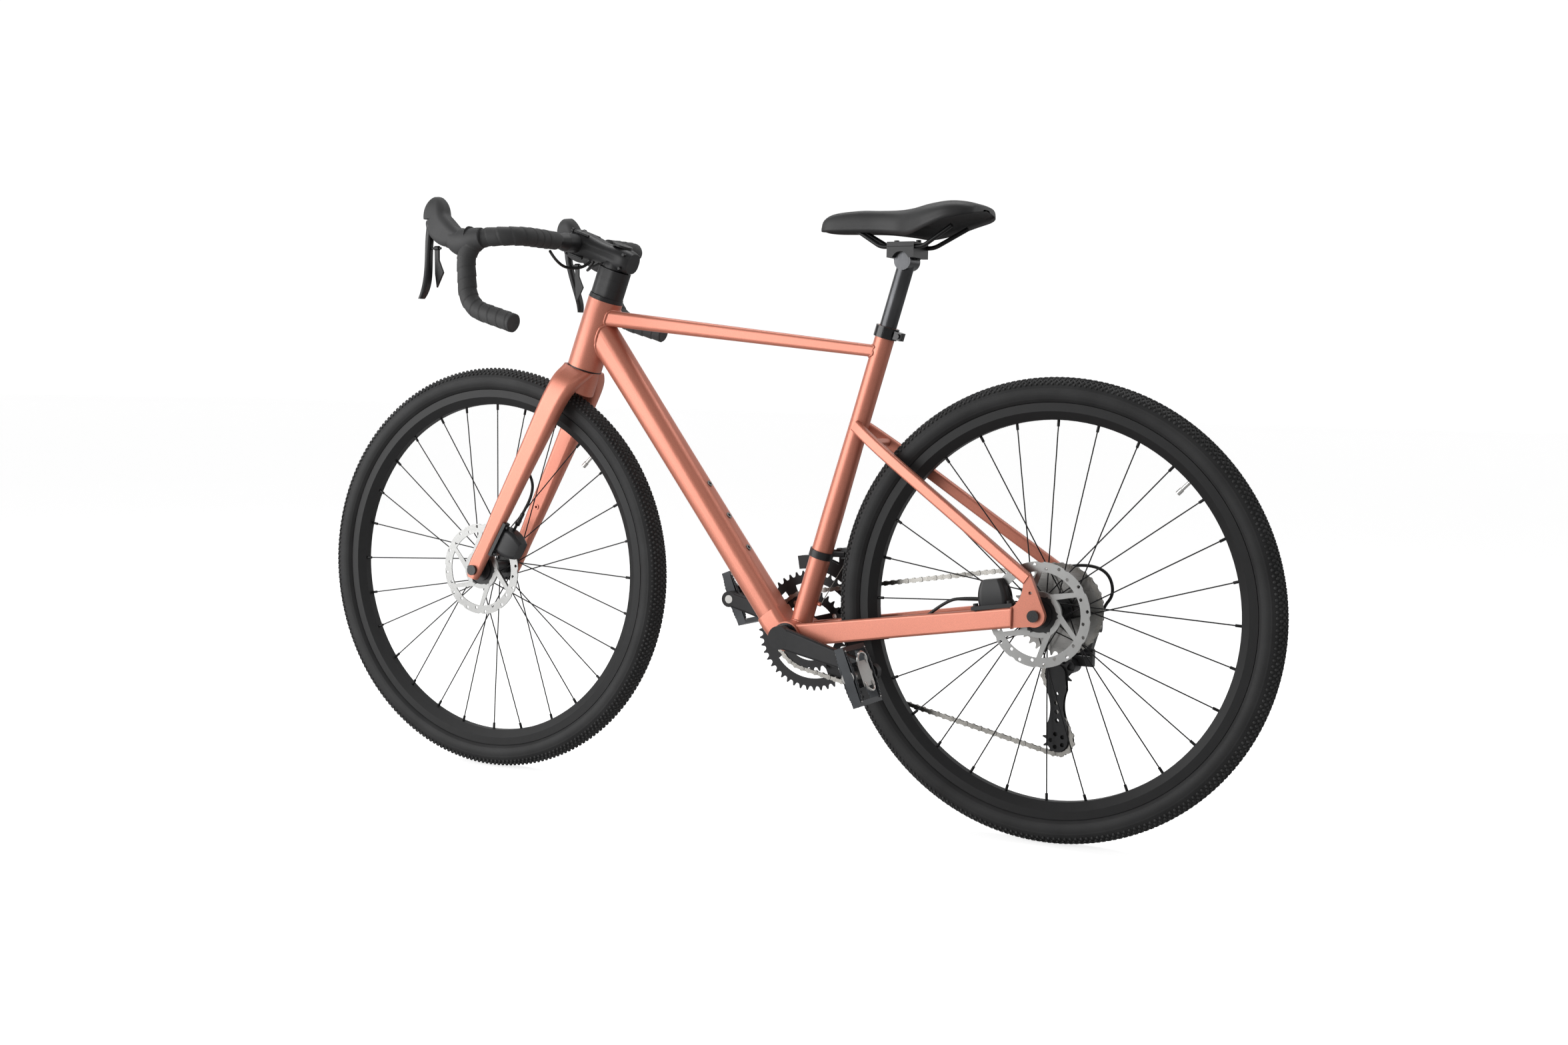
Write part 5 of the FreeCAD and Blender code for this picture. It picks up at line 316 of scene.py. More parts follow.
# %% Finishes on the CAD nodes
DRESS = {
    copper_paint: ("head_tube", "top_tube", "down_tube", "seat_tube", "bottom_bracket_shell", "chainstays",
                   "seatstays", "dropouts", "fork"),
    satin_black: ("headset_spacers", "stem", "stem_faceplate", "handlebar", "front_hub", "rear_hub", "saddle_clamp",
                  "front_brake_caliper", "rear_brake_caliper", "rear_derailleur_knuckle", "rear_derailleur_link",
                  "rear_derailleur_foot", "front_derailleur_body", "left_brake_lever", "right_brake_lever"),
    rim_black: ("front_rim", "rear_rim"),
    gloss_black: ("seat_collar", "frame_bearings", "front_axle", "rear_axle"),
    crank_black: ("crank_arms", "chainrings", "front_derailleur_cage", "rear_derailleur_cage"),
    pedal_grey: ("left_pedal", "right_pedal"),
    spoke_black: ("front_spokes", "rear_spokes", "saddle_rails"),
    brushed_steel: ("bottle_bosses", "cassette", "pedal_spindles"),
    post_alloy: ("seatpost",),
    valve_silver: ("front_valve", "rear_valve"),
    chain_steel: ("chain",),
    rotor_steel: ("front_rotor", "rear_rotor"),
    hood_rubber: ("left_lever_hood", "right_lever_hood"),
    moulded_plastic: ("left_shift_paddle", "right_shift_paddle", "guide_pulley", "tension_pulley"),
}
for material, names in DRESS.items():
    for name in names:
        nodes[name].data.materials.clear()
        nodes[name].data.materials.append(material)
print("dressed", sum(len(names) for names in DRESS.values()), "CAD nodes")

# %% [markdown]
# The tyres are knobbly. The casing is a section turned about the axle, with a flat foot on the rim,
# full cheeks and a round crown. The tread is rows of small blunt knobs: each is a six-sided frustum
# standing on the casing, copied around by arrays of angles. A displaced surface would need far more faces
# for edges as crisp.

# %% Tyres
AXLES = {"front": np.array([525.0, 0, 356.0]), "rear": np.array([-525.0, 0, 356.0])}
TYRE_FOOT = (12.2, 310.0)
TYRE_SIDE = np.array([(12.2, 317.7), (15.4, 318.1), (20.3, 324.0), (22.2, 331.0), (21.3, 339.0), (17.9, 345.8),
                      (12.4, 350.4), (6.4, 352.9), (0.0, 353.7)])
RIDGE_RADII, RIDGE_WIDTH, RIDGE_HEIGHT = (322.5, 338.5), 0.7, 0.45
# each row: distance from the middle, stagger as a share of the spacing, half size, height
KNOB_ROWS = ((0.0, 0.0, 2.3, 2.2), (5.2, 0.5, 2.3, 2.2), (10.2, 0.0, 2.3, 2.3), (14.8, 0.5, 2.4, 2.5),
             (18.7, 0.0, 2.3, 2.4))
KNOB_FOOT = -0.6  # a knob starts this far under the casing, so no gap shows
KNOB_COUNT = 250


def on_wheel(radius, side, angle):
    """Wheel coordinates to space: the wheel turns about Y."""
    return np.stack([radius * np.cos(angle), np.broadcast_to(side, np.shape(radius * angle)),
                     radius * np.sin(angle)], axis=-1)


def tyre_section():
    """The casing's outline from one bead over the crown to the other, with two thin ridges on each cheek."""
    half = np.vstack([[TYRE_FOOT], smooth_line(TYRE_SIDE, 56)])
    for radius in RIDGE_RADII:
        half[:, 0] += RIDGE_HEIGHT * np.exp(-((half[:, 1] - radius) / RIDGE_WIDTH) ** 2)
    other = half[-2::-1] * (-1, 1)
    return np.vstack([half, other])


def casing_at(side):
    """Radius of the casing and the tilt of its outward normal at a distance from the middle plane."""
    upper = smooth_line(TYRE_SIDE, 400)[100:][::-1]
    step = 0.4
    low, radius, high = np.interp((side - step, side, side + step), upper[:, 0], upper[:, 1])
    return radius, np.arctan2(low - high, 2 * step)


def make_tyre(end):
    """The section turned about the axle, plus rows of studs tilted with the casing's normal."""
    section = tyre_section()
    turns = np.linspace(0, 2 * np.pi, 240, endpoint=False)
    casing = on_wheel(section[None, :, 1], section[None, :, 0], turns[:, None])
    points = [casing.reshape(-1, 3)]
    faces = [grid_faces(len(turns), len(section), True, True)]
    start = len(points[0])
    around = np.linspace(0, 2 * np.pi, STUD_SIDES, endpoint=False)
    for side, stagger, size, height in KNOB_ROWS:
        for sign in ((1,) if side == 0 else (1, -1)):
            radius, tilt = casing_at(side)
            angle = (np.arange(KNOB_COUNT) + stagger) * 2 * np.pi / KNOB_COUNT
            rings = []
            for lift, share in ((KNOB_FOOT, 1.05), (height * 0.8, 0.92), (height, 0.66)):
                r = radius + lift * np.cos(tilt) - share * size * np.sin(around) * np.sin(tilt)
                y = side + lift * np.sin(tilt) + share * size * np.sin(around) * np.cos(tilt)
                turn = angle[:, None] + share * size * np.cos(around)[None, :] / radius
                rings.append(on_wheel(r[None, :], sign * y[None, :], turn))
            points.append(np.stack(rings, axis=1).reshape(-1, 3))
            faces.extend(stud_faces(KNOB_COUNT, start))
            start += KNOB_COUNT * STUD_POINTS
    tyre = make_piece("knobbly_tyre_" + end, (np.vstack(points) + AXLES[end]) * MM, faces)
    # Knob faces take the lighter rubber, a painted highlight; the casing between them keeps the darker rubber,
    # painted shade.
    in_knob = np.arange(len(tyre.data.polygons)) >= len(faces[0])
    tyre.data.polygons.foreach_set("material_index", in_knob.astype(np.int32))
    face_outwards(tyre)
    tyre.data.materials.append(casing_rubber_painted_shade)
    tyre.data.materials.append(knob_rubber_painted_highlight)
    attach(tyre, end + "_wheel")
    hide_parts(end + "_tyre")


for end in AXLES:
    make_tyre(end)

# %% [markdown]
# The bar tape is one strip wound from the bar's end to near the stem. Each turn laps over the last,
# so the radius climbs across a turn and drops at its edge: a saw-tooth of the distance along the bar
# less the share of a turn. Near the stem a thin smooth band closes it, and a plug closes the end.

# %% Bar tape
BAR_CENTRE = np.array([347.592, 0, 925.638])
BAR_HALF = np.array([(0, 80, 0), (0, 186, 0), (90, 207, -5), (70, 222, -118), (-24, 228, -144)], float)
BAR_BENDS = (45, 40, 52)
TAPE_PITCH, TAPE_RADIUS, TAPE_EDGE, TAPE_CLIMB = 19.0, 14.7, 0.3, 1.0
TAPE_RIPPLE, TAPE_AROUND = 0.12, 48
BAND_LENGTH, BAND_RADIUS, BAR_RADIUS = 22.0, 15.2, 12.3
ACROSS_BAR = np.array([0.35, -0.75, 0.55])  # no run of the bar points this way
# each ring of the end plug: distance past the tape's end and share of its radius
PLUG = ((0.2, 1.0), (1.9, 0.99), (2.9, 0.9), (2.6, 0.8), (2.6, 0.0))


def rounded_route(points, bends, step):
    """Straight runs joined by arcs that touch both runs, sampled every step."""
    line = [points[0][None]]
    for before, corner, after, bend in zip(points, points[1:], points[2:], bends):
        into, away = unit(before - corner), unit(after - corner)
        half = np.arccos(np.clip(into @ away, -1, 1)) / 2
        reach = bend / np.tan(half)
        middle = corner + unit(into + away) * bend / np.sin(half)
        start, end = corner + into * reach, corner + away * reach
        t = np.linspace(0, 1, 24)[:, None]
        chord = start * (1 - t) + end * t
        line.append(middle + unit(chord - middle) * bend)
    line.append(points[-1][None])
    line = np.vstack(line)
    reach = np.concatenate([[0], np.cumsum(np.linalg.norm(np.diff(line, axis=0), axis=1))])
    even = np.linspace(0, reach[-1], int(reach[-1] / step))
    return np.stack([np.interp(even, reach, line[:, k]) for k in range(3)], axis=1), even


def make_tape(side, sign):
    """Rings along the bar, their radius a saw-tooth of the winding, with a smooth band first and a plug last."""
    route, reach = rounded_route(BAR_HALF, BAR_BENDS, 1.3)
    angle = np.linspace(0, 1, TAPE_AROUND, endpoint=False)
    turn = reach[:, None] / TAPE_PITCH - angle[None]
    lap = turn - np.floor(turn)
    edge = np.clip(lap / 0.08, 0, 1) * np.clip((1 - lap) / 0.04, 0, 1)
    radius = TAPE_RADIUS + edge * (TAPE_EDGE + TAPE_CLIMB * lap) + TAPE_RIPPLE * np.sin(turn * 37)
    band = np.clip((BAND_LENGTH - reach) / 1.2, 0, 1)[:, None]
    radius = radius * (1 - band) + BAND_RADIUS * band
    rings = tube_points(route, radius, TAPE_AROUND, ACROSS_BAR)
    inner = tube_points(route[:2], BAR_RADIUS, TAPE_AROUND, ACROSS_BAR)[:1]
    along, last = unit(route[-1] - route[-2]), rings[-1] - route[-1]
    plug = np.stack([route[-1] + along * past + last * share for past, share in PLUG])
    grid = np.concatenate([inner, rings, plug])
    points = (grid.reshape(-1, 3) * (1, sign, 1) + BAR_CENTRE) * MM
    faces = [grid_faces(len(grid), TAPE_AROUND, False, True), np.arange(TAPE_AROUND)[None]]
    tape = face_outwards(make_piece("wound_tape_" + side, points, faces))
    tape.data.materials.append(tape_wrap)
    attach(tape, "steering")
    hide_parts("bar_tape")


for side, sign in SIDES:
    make_tape(side, sign)

# %% [markdown]
# The saddle is moulded foam under a thin cover. Its outline, top line and lower edge are curves from
# nose to tail. Across, the pad is a half superellipse from edge to edge, which is flat on top with
# round shoulders, and a shallow channel runs down the middle. Foam glued into a shell has no folds for a
# simulation to find, so the crowned form is worked out directly.

# %% Saddle
POST_HEAD = np.array([-267.594, 0, 887.681])
SADDLE_NOSE, SADDLE_LENGTH = 150, 276
PAD_POWER = 2 / 3.6  # a superellipse of degree 3.6
CHANNEL_DEPTH, CHANNEL_WIDTH, SEAM_DEPTH, SHELL_ARCH = 3.2, 8.5, 0.010, 26.0
NOSE_HEIGHT, TAIL_HEIGHT = 53.5, 75.0
# each station: share of the length, half width, top, lower edge
SADDLE_LINES = np.array([
    (0.00, 5, 57, 50), (0.03, 15, 69, 47.5), (0.10, 20.5, 77, 46), (0.25, 22.5, 80.5, 45), (0.40, 25, 80, 43.5),
    (0.52, 34, 79.5, 40), (0.62, 49.5, 81.5, 37), (0.74, 66, 87, 45.5), (0.86, 72.5, 90, 57), (0.95, 66, 88, 63),
    (1.00, 50, 83.5, 67), (1.012, 34, 80.5, 69.5), (1.018, 14, 77.5, 73)])


def superellipse(v):
    """Cosine and sine raised to a small power, which squares off a half circle into flat top and shoulders."""
    return np.sign(np.cos(v)) * np.abs(np.cos(v)) ** PAD_POWER, np.sin(v) ** PAD_POWER


def make_saddle():
    """At each station an outer half superellipse, and a narrower and lower one back underneath."""
    line = smooth_line(SADDLE_LINES, 150)
    share, half, top, low = line.T
    v = np.linspace(0, np.pi, 61)
    out, up = superellipse(v)
    side = half[:, None] * out[None]
    rise = low[:, None] + (top - low)[:, None] * up[None]
    window = np.clip((share - 0.3) / 0.15, 0, 1) * np.clip((0.97 - share) / 0.12, 0, 1)
    rise = rise - CHANNEL_DEPTH * window[:, None] * np.exp(-(side / CHANNEL_WIDTH) ** 2)
    seam = np.exp(-((up[None] - 0.33) / 0.03) ** 2) * np.clip((share - 0.05) / 0.1, 0, 1)[:, None]
    side = side * (1 - SEAM_DEPTH * seam)
    out, up = superellipse(v[::-1][1:-1])
    inner_side = 0.9 * half[:, None] * out[None]
    arch = np.minimum(0.6 * (top - low), SHELL_ARCH)
    inner_rise = low[:, None] + 1.0 + arch[:, None] * up[None]
    side, rise = np.hstack([side, inner_side]), np.hstack([rise, inner_rise])
    ahead = np.broadcast_to((SADDLE_NOSE - share * SADDLE_LENGTH)[:, None], side.shape)
    grid = np.stack([ahead, side, rise], axis=-1)
    nose, tail = grid[:1] * (1, 0, 0) + (0, 0, NOSE_HEIGHT), grid[-1:] * (1, 0, 0) + (0, 0, TAIL_HEIGHT)
    grid = np.concatenate([nose, grid, tail]) + POST_HEAD
    faces = [grid_faces(len(grid), grid.shape[1], False, True)]
    saddle = face_outwards(make_piece("saddle_pad", grid.reshape(-1, 3) * MM, faces))
    saddle.data.materials.append(saddle_vinyl)
    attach(saddle, "saddle")
    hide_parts("saddle")


make_saddle()

# %% [markdown]
# Hoses, housings and wires are cords that go back into the bike at both ends. A hose is stiff, so it lies in
# a slack curve without kinks. A NURBS line that takes the route's points as control points gives such a curve
# by itself, where a line through every point would wobble. A round bevel gives it the real thickness, and the
# bare line is measured for the true length.

# %% Cords


def nurbs_line(name, route):
    """An open NURBS curve of order 3 whose control points are the route's points."""
    curve = bpy.data.curves.new(name, "CURVE")
    curve.dimensions = "3D"
    curve.resolution_u = 12
    spline = curve.splines.new("NURBS")
    spline.points.add(len(route) - 1)
    for point, place in zip(spline.points, route):
        point.co = (*place, 1)
    spline.order_u = 3
    spline.use_endpoint_u = True
    return curve


def line_length(name, route):
    """Length of the bare curve: the sum of its short straight steps."""
    curve = nurbs_line(name, route)
    holder = bpy.data.objects.new(name, curve)
    mesh = bpy.data.meshes.new_from_object(holder)
    line = np.zeros(len(mesh.vertices) * 3)
    mesh.vertices.foreach_get("co", line)
    bpy.data.objects.remove(holder)
    bpy.data.curves.remove(curve)
    bpy.data.meshes.remove(mesh)
    return float(np.linalg.norm(np.diff(line.reshape(-1, 3), axis=0), axis=1).sum())


def make_cord(name, body, route, radius, material=None):
    curve = nurbs_line(name, route)
    curve.bevel_depth = radius
    curve.bevel_resolution = 5
    curve.use_fill_caps = True
    curve.materials.append(material or hose_skin)
    piece = bpy.data.objects.new(name, curve)
    bpy.context.scene.collection.objects.link(piece)
    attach(piece, body)
    length = line_length(name + "_line", route)
    print(name, "length", round(length, 4))
    return piece


def shifted(points, origin=(0, 0, 0)):
    """Points in millimetres from an origin, as tuples in metres."""
    return [tuple(float(v) for v in (np.asarray(point) + origin) * MM) for point in points]


# %% [markdown]
# The routes are those of the real bike: the rear brake hose leaves the chainstay, the gear housing loops behind
# the cassette, a bare wire climbs to the front derailleur, two hoses pass under the stem, and the front brake hose
# leaves the fork leg above its caliper.

# %% Hoses on the bike
HOSE_RADIUS, WIRE_RADIUS = 0.0025, 0.0008  # metres
GEAR_HOUSING = ((20, -84, 58), (-12, -87, 68), (-56, -89, 60), (-68, -91.5, 24), (-48.3, -92, -1),
                (-46.3, -92, -20.8))
BRAKE_HOSE = ((-433.67, 51, 372.75), (-408.27, 52, 372.75), (-368.27, 51, 365.75), (-322.27, 51.3, 323.66))
GEAR_WIRE = ((-130.9, -0.4, 338.6), (-147, -13.6, 375.4), (-163.3, -27, 411.9))
COCKPIT_HOSE = ((348.59, 92, 907.04), (361.4, 60.5, 896.1), (358.6, 31, 882.3), (336.5, 7.4, 885.1),
                (325.82, 5, 896.28))
FRONT_HOSE = ((429, 46, 542), (417, 37, 520), (421, 35, 489), (440, 37, 456), (456, 40, 426))
make_cord("front_brake_hose", "steering", shifted(FRONT_HOSE), HOSE_RADIUS)
cables = [
    make_cord("gear_housing", "frame", shifted(GEAR_HOUSING, AXLES["rear"]), HOSE_RADIUS),
    make_cord("rear_brake_hose", "frame", shifted(BRAKE_HOSE), HOSE_RADIUS),
    make_cord("gear_wire", "frame", shifted(GEAR_WIRE), WIRE_RADIUS, chain_steel),
]
for side, sign in SIDES:
    route = [(x, sign * y, z) for x, y, z in COCKPIT_HOSE]
    hose = make_cord("cockpit_hose_" + side, "steering", shifted(route), HOSE_RADIUS)
    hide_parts("cockpit_hoses")

# %% [markdown]
# Where a cord meets metal it ends in a small turned fitting: a stop on the frame for the wire, and a nut on the
# front caliper for the hose. On a lathe such a piece is a profile turned about a line, and so it is here.

# %% Turned fittings
TURNED_AROUND = 80


def turned_piece(name, start, end, profile, material, body, lobes=(0, 0)):
    """A profile of (share along, radius) turned about the line from start to end; lobes wave its radius."""
    start, end = np.asarray(start, float), np.asarray(end, float)
    profile = np.asarray(profile, float)
    along = unit(end - start)
    across = unit(np.cross(along, (0.3, 0.9, 0.1)))
    third = np.cross(along, across)
    angle = np.linspace(0, 2 * np.pi, TURNED_AROUND, endpoint=False)
    wave = 1 + lobes[1] * np.cos(lobes[0] * angle)
    ring = (np.cos(angle)[:, None] * across + np.sin(angle)[:, None] * third) * wave[:, None]
    grid = (start + profile[:, :1] * (end - start))[:, None] + profile[:, 1][:, None, None] * ring[None]
    faces = [grid_faces(len(profile), TURNED_AROUND, False, True)]
    piece = face_outwards(make_piece(name, grid.reshape(-1, 3) * MM, faces))
    piece.data.materials.append(material)
    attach(piece, body)
    return piece


wire_stop = turned_piece("wire_stop", (-123.9, 0, 338.9), (-130.6, 0, 336.9),
                         [(0, 0), (0, 3.4), (0.85, 3.5), (1.0, 2.9), (1.0, 0)], copper_paint, "frame")
turned_piece("front_hose_fitting", (437.5, 36.7, 459.5), (449, 38.8, 438),
             [(0, 0), (0, 3.0), (0.1, 3.6), (0.55, 3.7), (0.6, 4.4), (1.0, 4.4), (1.0, 0)], gloss_black,
             "steering")
for piece in cables + [wire_stop]:
    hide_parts("frame_cables")

# %% [markdown]
# An aluminium frame is welded and its beads are smoothed before painting, so each tube meets its
# neighbour in a soft roll instead of a sharp line. The line of a joint is in the CAD mesh: it is where a
# tube's points lie on its neighbour's surface. Those points are sorted by their angle about the joint,
# smoothed, and a small round bead with a faint ripple is carried along them.

# %% Weld beads
HEAD_POINT, HEAD_UP = np.array([473.219, 0, 337.46]), np.array([-0.337095, 0, 0.941471])
CRANK_POINT, SEAT_UP = np.array([-89.511, 0, 286.5]), np.array([-0.284015, 0, 0.95882])
SIDEWAYS = np.array([0.0, 1.0, 0.0])
TOP_ALONG, DOWN_ALONG = np.array([0.97, 0, 0.23]), np.array([0.6, 0, 0.8])
# how near a tube's points lie to its neighbour's axis where they touch its surface
HEAD_REACH, SEAT_REACH, STAY_REACH, SHELL_REACH = 30.6, 17.0, 17.9, 24.6
POST_ROOM = 15.9  # from the seat tube's axis, clear of the sliding post
BEAD_AROUND = 12


def node_points(name):
    """All points of a CAD node as an array, in millimetres."""
    mesh = nodes[name].data
    flat = np.zeros(len(mesh.vertices) * 3)
    mesh.vertices.foreach_get("co", flat)
    return flat.reshape(-1, 3) / MM


def from_line(points, start, along):
    """Distance of each point from a line."""
    apart = points - start
    return np.linalg.norm(apart - (apart @ along)[:, None] * along, axis=1)


def make_bead(name, points, along, radius, smoothing=5, count=120, least=0):
    """A closed roll through the outermost of the given points, in order of angle about their middle.

    The points are averaged with their neighbours, then kept at least a given distance from the seat tube's
    axis, so that the post can slide behind the bead.
    """
    middle = (points.max(axis=0) + points.min(axis=0)) / 2
    across = unit(np.cross(along, (0.21, 0.93, 0.3)))
    third = np.cross(along, across)
    apart = points - middle
    u, v = apart @ across, apart @ third
    angle = np.arctan2(v, u) % (2 * np.pi)
    order = np.argsort(np.hypot(u, v))
    bins = (angle / (2 * np.pi) * count).astype(int) % count
    chosen = np.full(count, -1)
    chosen[bins[order]] = order
    found = np.nonzero(chosen >= 0)[0]
    wide = np.concatenate([found - count, found, found + count])
    ring = np.stack([np.interp(np.arange(count), wide, np.tile(points[chosen[found], k], 3)) for k in range(3)],
                    axis=1)
    kernel = np.ones(smoothing) / smoothing
    looped = np.concatenate([ring[-smoothing:], ring, ring[:smoothing]])
    ring = np.stack([np.convolve(looped[:, k], kernel, "same") for k in range(3)], axis=1)[smoothing:-smoothing]
    away = ring - CRANK_POINT
    away = away - (away @ SEAT_UP)[:, None] * SEAT_UP
    ring = ring + unit(away) * np.maximum(least - np.linalg.norm(away, axis=1), 0)[:, None]
    ripple = radius * (1 + 0.05 * np.sin(np.arange(count) * 1.3))
    tangent = unit(np.roll(ring, -1, axis=0) - np.roll(ring, 1, axis=0))
    outward = unit(ring - ring.mean(axis=0))
    side = unit(np.cross(tangent, outward))
    outward = np.cross(side, tangent)
    turn = np.linspace(0, 2 * np.pi, BEAD_AROUND, endpoint=False)
    grid = ring[:, None] + ripple[:, None, None] * (np.cos(turn)[None, :, None] * outward[:, None]
                                                    + np.sin(turn)[None, :, None] * side[:, None])
    bead = face_outwards(make_piece(name, grid.reshape(-1, 3) * MM, [grid_faces(count, BEAD_AROUND, True, True)]))
    bead.data.materials.append(copper_paint)
    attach(bead, "frame")


top, down, seat = node_points("top_tube"), node_points("down_tube"), node_points("seat_tube")
make_bead("bead_top_head", top[from_line(top, HEAD_POINT, HEAD_UP) < HEAD_REACH], unit(TOP_ALONG), 2.4)
make_bead("bead_down_head", down[from_line(down, HEAD_POINT, HEAD_UP) < HEAD_REACH], unit(DOWN_ALONG), 2.6)
make_bead("bead_top_seat", top[from_line(top, CRANK_POINT, SEAT_UP) < SEAT_REACH], unit(TOP_ALONG), 2.0)
make_bead("bead_seat_shell", seat[from_line(seat, CRANK_POINT, SIDEWAYS) < SHELL_REACH], SEAT_UP, 2.4)
seat_stays, chain_stays = node_points("seatstays"), node_points("chainstays")
for side, sign in SIDES:
    mine = seat_stays[seat_stays[:, 1] * sign > 0]
    make_bead("bead_seatstay_" + side, mine[from_line(mine, CRANK_POINT, SEAT_UP) < STAY_REACH],
              unit(np.array([0.6, 0.2 * sign, 0.75])), 1.8, least=POST_ROOM)
    mine = chain_stays[chain_stays[:, 1] * sign > 0]
    make_bead("bead_chainstay_" + side, mine[mine[:, 0] < mine[:, 0].min() + 0.5], np.array([1.0, 0, 0]), 1.8)

# %% [markdown]
# Some CAD nodes hold pieces of two materials: the rotor's steel band sits on a black carrier, the
# chainrings are held by bright bolts, and the steerer above the painted fork crown is bare dark metal.
# A mask over the middles of the faces picks them out, and those faces take a second material. The shapes
# stay as they are.

# %% Second materials on CAD nodes
CARRIER_RADIUS, BOLT_CIRCLE, BOLT_RADIUS = 29.5, 52.5, 4.05


def face_middles(name):
    """The middle of every face of a CAD node, in millimetres."""
    flat = np.zeros(len(nodes[name].data.polygons) * 3)
    nodes[name].data.polygons.foreach_get("center", flat)
    return flat.reshape(-1, 3) / MM


def second_finish(name, chosen, material):
    """The chosen faces of a CAD node take one more material; the others keep theirs."""
    mesh = nodes[name].data
    index = np.zeros(len(mesh.polygons), int)
    mesh.polygons.foreach_get("material_index", index)
    mesh.materials.append(material)
    index[chosen] = len(mesh.materials) - 1
    mesh.polygons.foreach_set("material_index", index)
    print(name, int(chosen.sum()), "faces in", material.name)


for end, axle in AXLES.items():
    away = from_line(face_middles(end + "_rotor"), axle, SIDEWAYS)
    second_finish(end + "_rotor", away < CARRIER_RADIUS, satin_black)
bolt_turn = np.radians([57, 147, 237, 327])
bolts = CRANK_POINT + BOLT_CIRCLE * np.stack([np.cos(bolt_turn), 0 * bolt_turn, np.sin(bolt_turn)], axis=1)
middles = face_middles("chainrings")
gaps = np.linalg.norm((middles[:, None] - bolts[None]) * (1, 0, 1), axis=2).min(axis=1)
second_finish("chainrings", gaps < BOLT_RADIUS, valve_silver)
middles = face_middles("fork")
crown = ((node_points("head_tube") - HEAD_POINT) @ HEAD_UP).min()
second_finish("fork", (middles - HEAD_POINT) @ HEAD_UP > crown - 1, satin_black)

# %% [markdown]
# Small turned parts finish the drive side and the cockpit. A cap with ten lobes closes each crank boss, and
# a skirt fills the space between the stem's rounded underside and the top spacer.

# %% Crank caps and stem skirt
CAP_PROFILE = [(0, 0), (0, 14.6), (0.7, 14.6), (0.9, 13.9), (0.9, 12.4), (0.45, 12.2), (0.45, 10.6), (1.0, 10.2),
               (1.0, 6.2), (0.3, 5.8), (0.3, 0)]
SKIRT_PROFILE = [(0, 14.9), (0, 22.4), (0.1, 22.8), (0.8, 22.4), (1.0, 21.0), (1.0, 14.9), (0, 14.9)]
crank_points = node_points("crank_arms")
boss = crank_points[from_line(crank_points, CRANK_POINT, SIDEWAYS) < 18]
for side, sign in SIDES:
    face = sign * np.abs(boss[boss[:, 1] * sign > 0][:, 1]).max()
    base, tip = CRANK_POINT + SIDEWAYS * (face - sign * 0.4), CRANK_POINT + SIDEWAYS * (face + sign * 2.2)
    turned_piece("crank_cap_" + side, base, tip, CAP_PROFILE, pedal_grey, "crank", lobes=(10, 0.05))
stem_points = node_points("stem")
near = stem_points[from_line(stem_points, HEAD_POINT, HEAD_UP) < 24]
stem_low = ((near - HEAD_POINT) @ HEAD_UP).min()
turned_piece("stem_skirt", HEAD_POINT + HEAD_UP * (stem_low + 0.2), HEAD_POINT + HEAD_UP * (stem_low + 15),
             SKIRT_PROFILE, satin_black, "steering")

# %% [markdown]
# The pedals hold a sprung clip on both faces: a bright bail at the front and a bright claw behind it,
# each a bent rod that rises from the pedal's body. Toothed oval plates and short pins line the two sides of the
# cage. All are laid out in the pedal's own axes and then turned with the pedal.

# %% Pedal clips and pins
PEDAL_TILT = math.radians(68)
PEDAL_MIDDLE, PLATE_OUT, BODY_HALF = 117.3, 33, 8.0
PEDAL_EYES = {"left": (-257.590, 247.696), "right": (78.568, 325.304)}
BAIL = np.array([(8, -15, 8), (17, -15, 13), (28, -12, 15), (33, 0, 15.5), (28, 12, 15), (17, 15, 13), (8, 15, 8)],
                float)
CLAW = BAIL * (-0.86, 0.8, 1.0)
ROD_RADIUS, ROD_RINGS, ROD_AROUND = 2.1, 40, 10
ROD_POINTS = ROD_RINGS * ROD_AROUND
PINS = np.array([(x, y, 0) for x in (-40, -30, -20, 20, 30, 40) for y in (-PLATE_OUT, PLATE_OUT)], float)
PIN_LEVELS = np.array([(1.7, 6.8), (1.7, 8.6), (1.1, 9.6)])  # radius and height of each ring
PLATE_AROUND, PLATE_TEETH = 240, 40


def on_pedal(local, side, sign):
    """Points in the pedal's own axes, turned by its tilt and moved to its spindle."""
    x, z = local[:, 0], local[:, 2]
    eye_x, eye_z = PEDAL_EYES[side]
    return np.stack([eye_x + x * math.cos(PEDAL_TILT) - z * math.sin(PEDAL_TILT), sign * (PEDAL_MIDDLE + local[:, 1]),
                     eye_z + x * math.sin(PEDAL_TILT) + z * math.cos(PEDAL_TILT)], axis=1)


def make_plates(side, sign):
    """Two toothed oval plates, each a rounded bar swept round an oval and closed both ways."""
    turn = np.linspace(0, 2 * np.pi, PLATE_AROUND, endpoint=False)
    oval = np.stack([np.cos(turn), np.sin(turn)], axis=1)
    oval = np.sign(oval) * np.abs(oval) ** 0.7
    tooth = np.clip(np.cos(turn * PLATE_TEETH), 0, 1)[:, None]
    out = np.array([0, 0, 0.6, 1, 1, 0.6])
    wide = np.array([-1.6, 1.6, 2.2, 1.6, -1.6, -2.2])
    reach = 42.2 + out * (4.2 + 1.0 * tooth)
    rise = 7.6 + out * (3.6 + 1.0 * tooth)
    ring = np.stack([oval[:, :1] * reach, np.broadcast_to(wide, reach.shape), oval[:, 1:] * rise], axis=2)
    ring = ring.reshape(-1, 3)
    local = np.vstack([ring + (0, -PLATE_OUT, 0), ring + (0, PLATE_OUT, 0)])
    quads = grid_faces(PLATE_AROUND, len(wide), True, True)
    placed = on_pedal(local, side, sign) * MM
    plates = face_outwards(make_piece("pedal_plates_" + side, placed, [quads, quads + len(ring)]))
    plates.data.materials.append(pedal_grey)
    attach(plates, side + "_pedal")


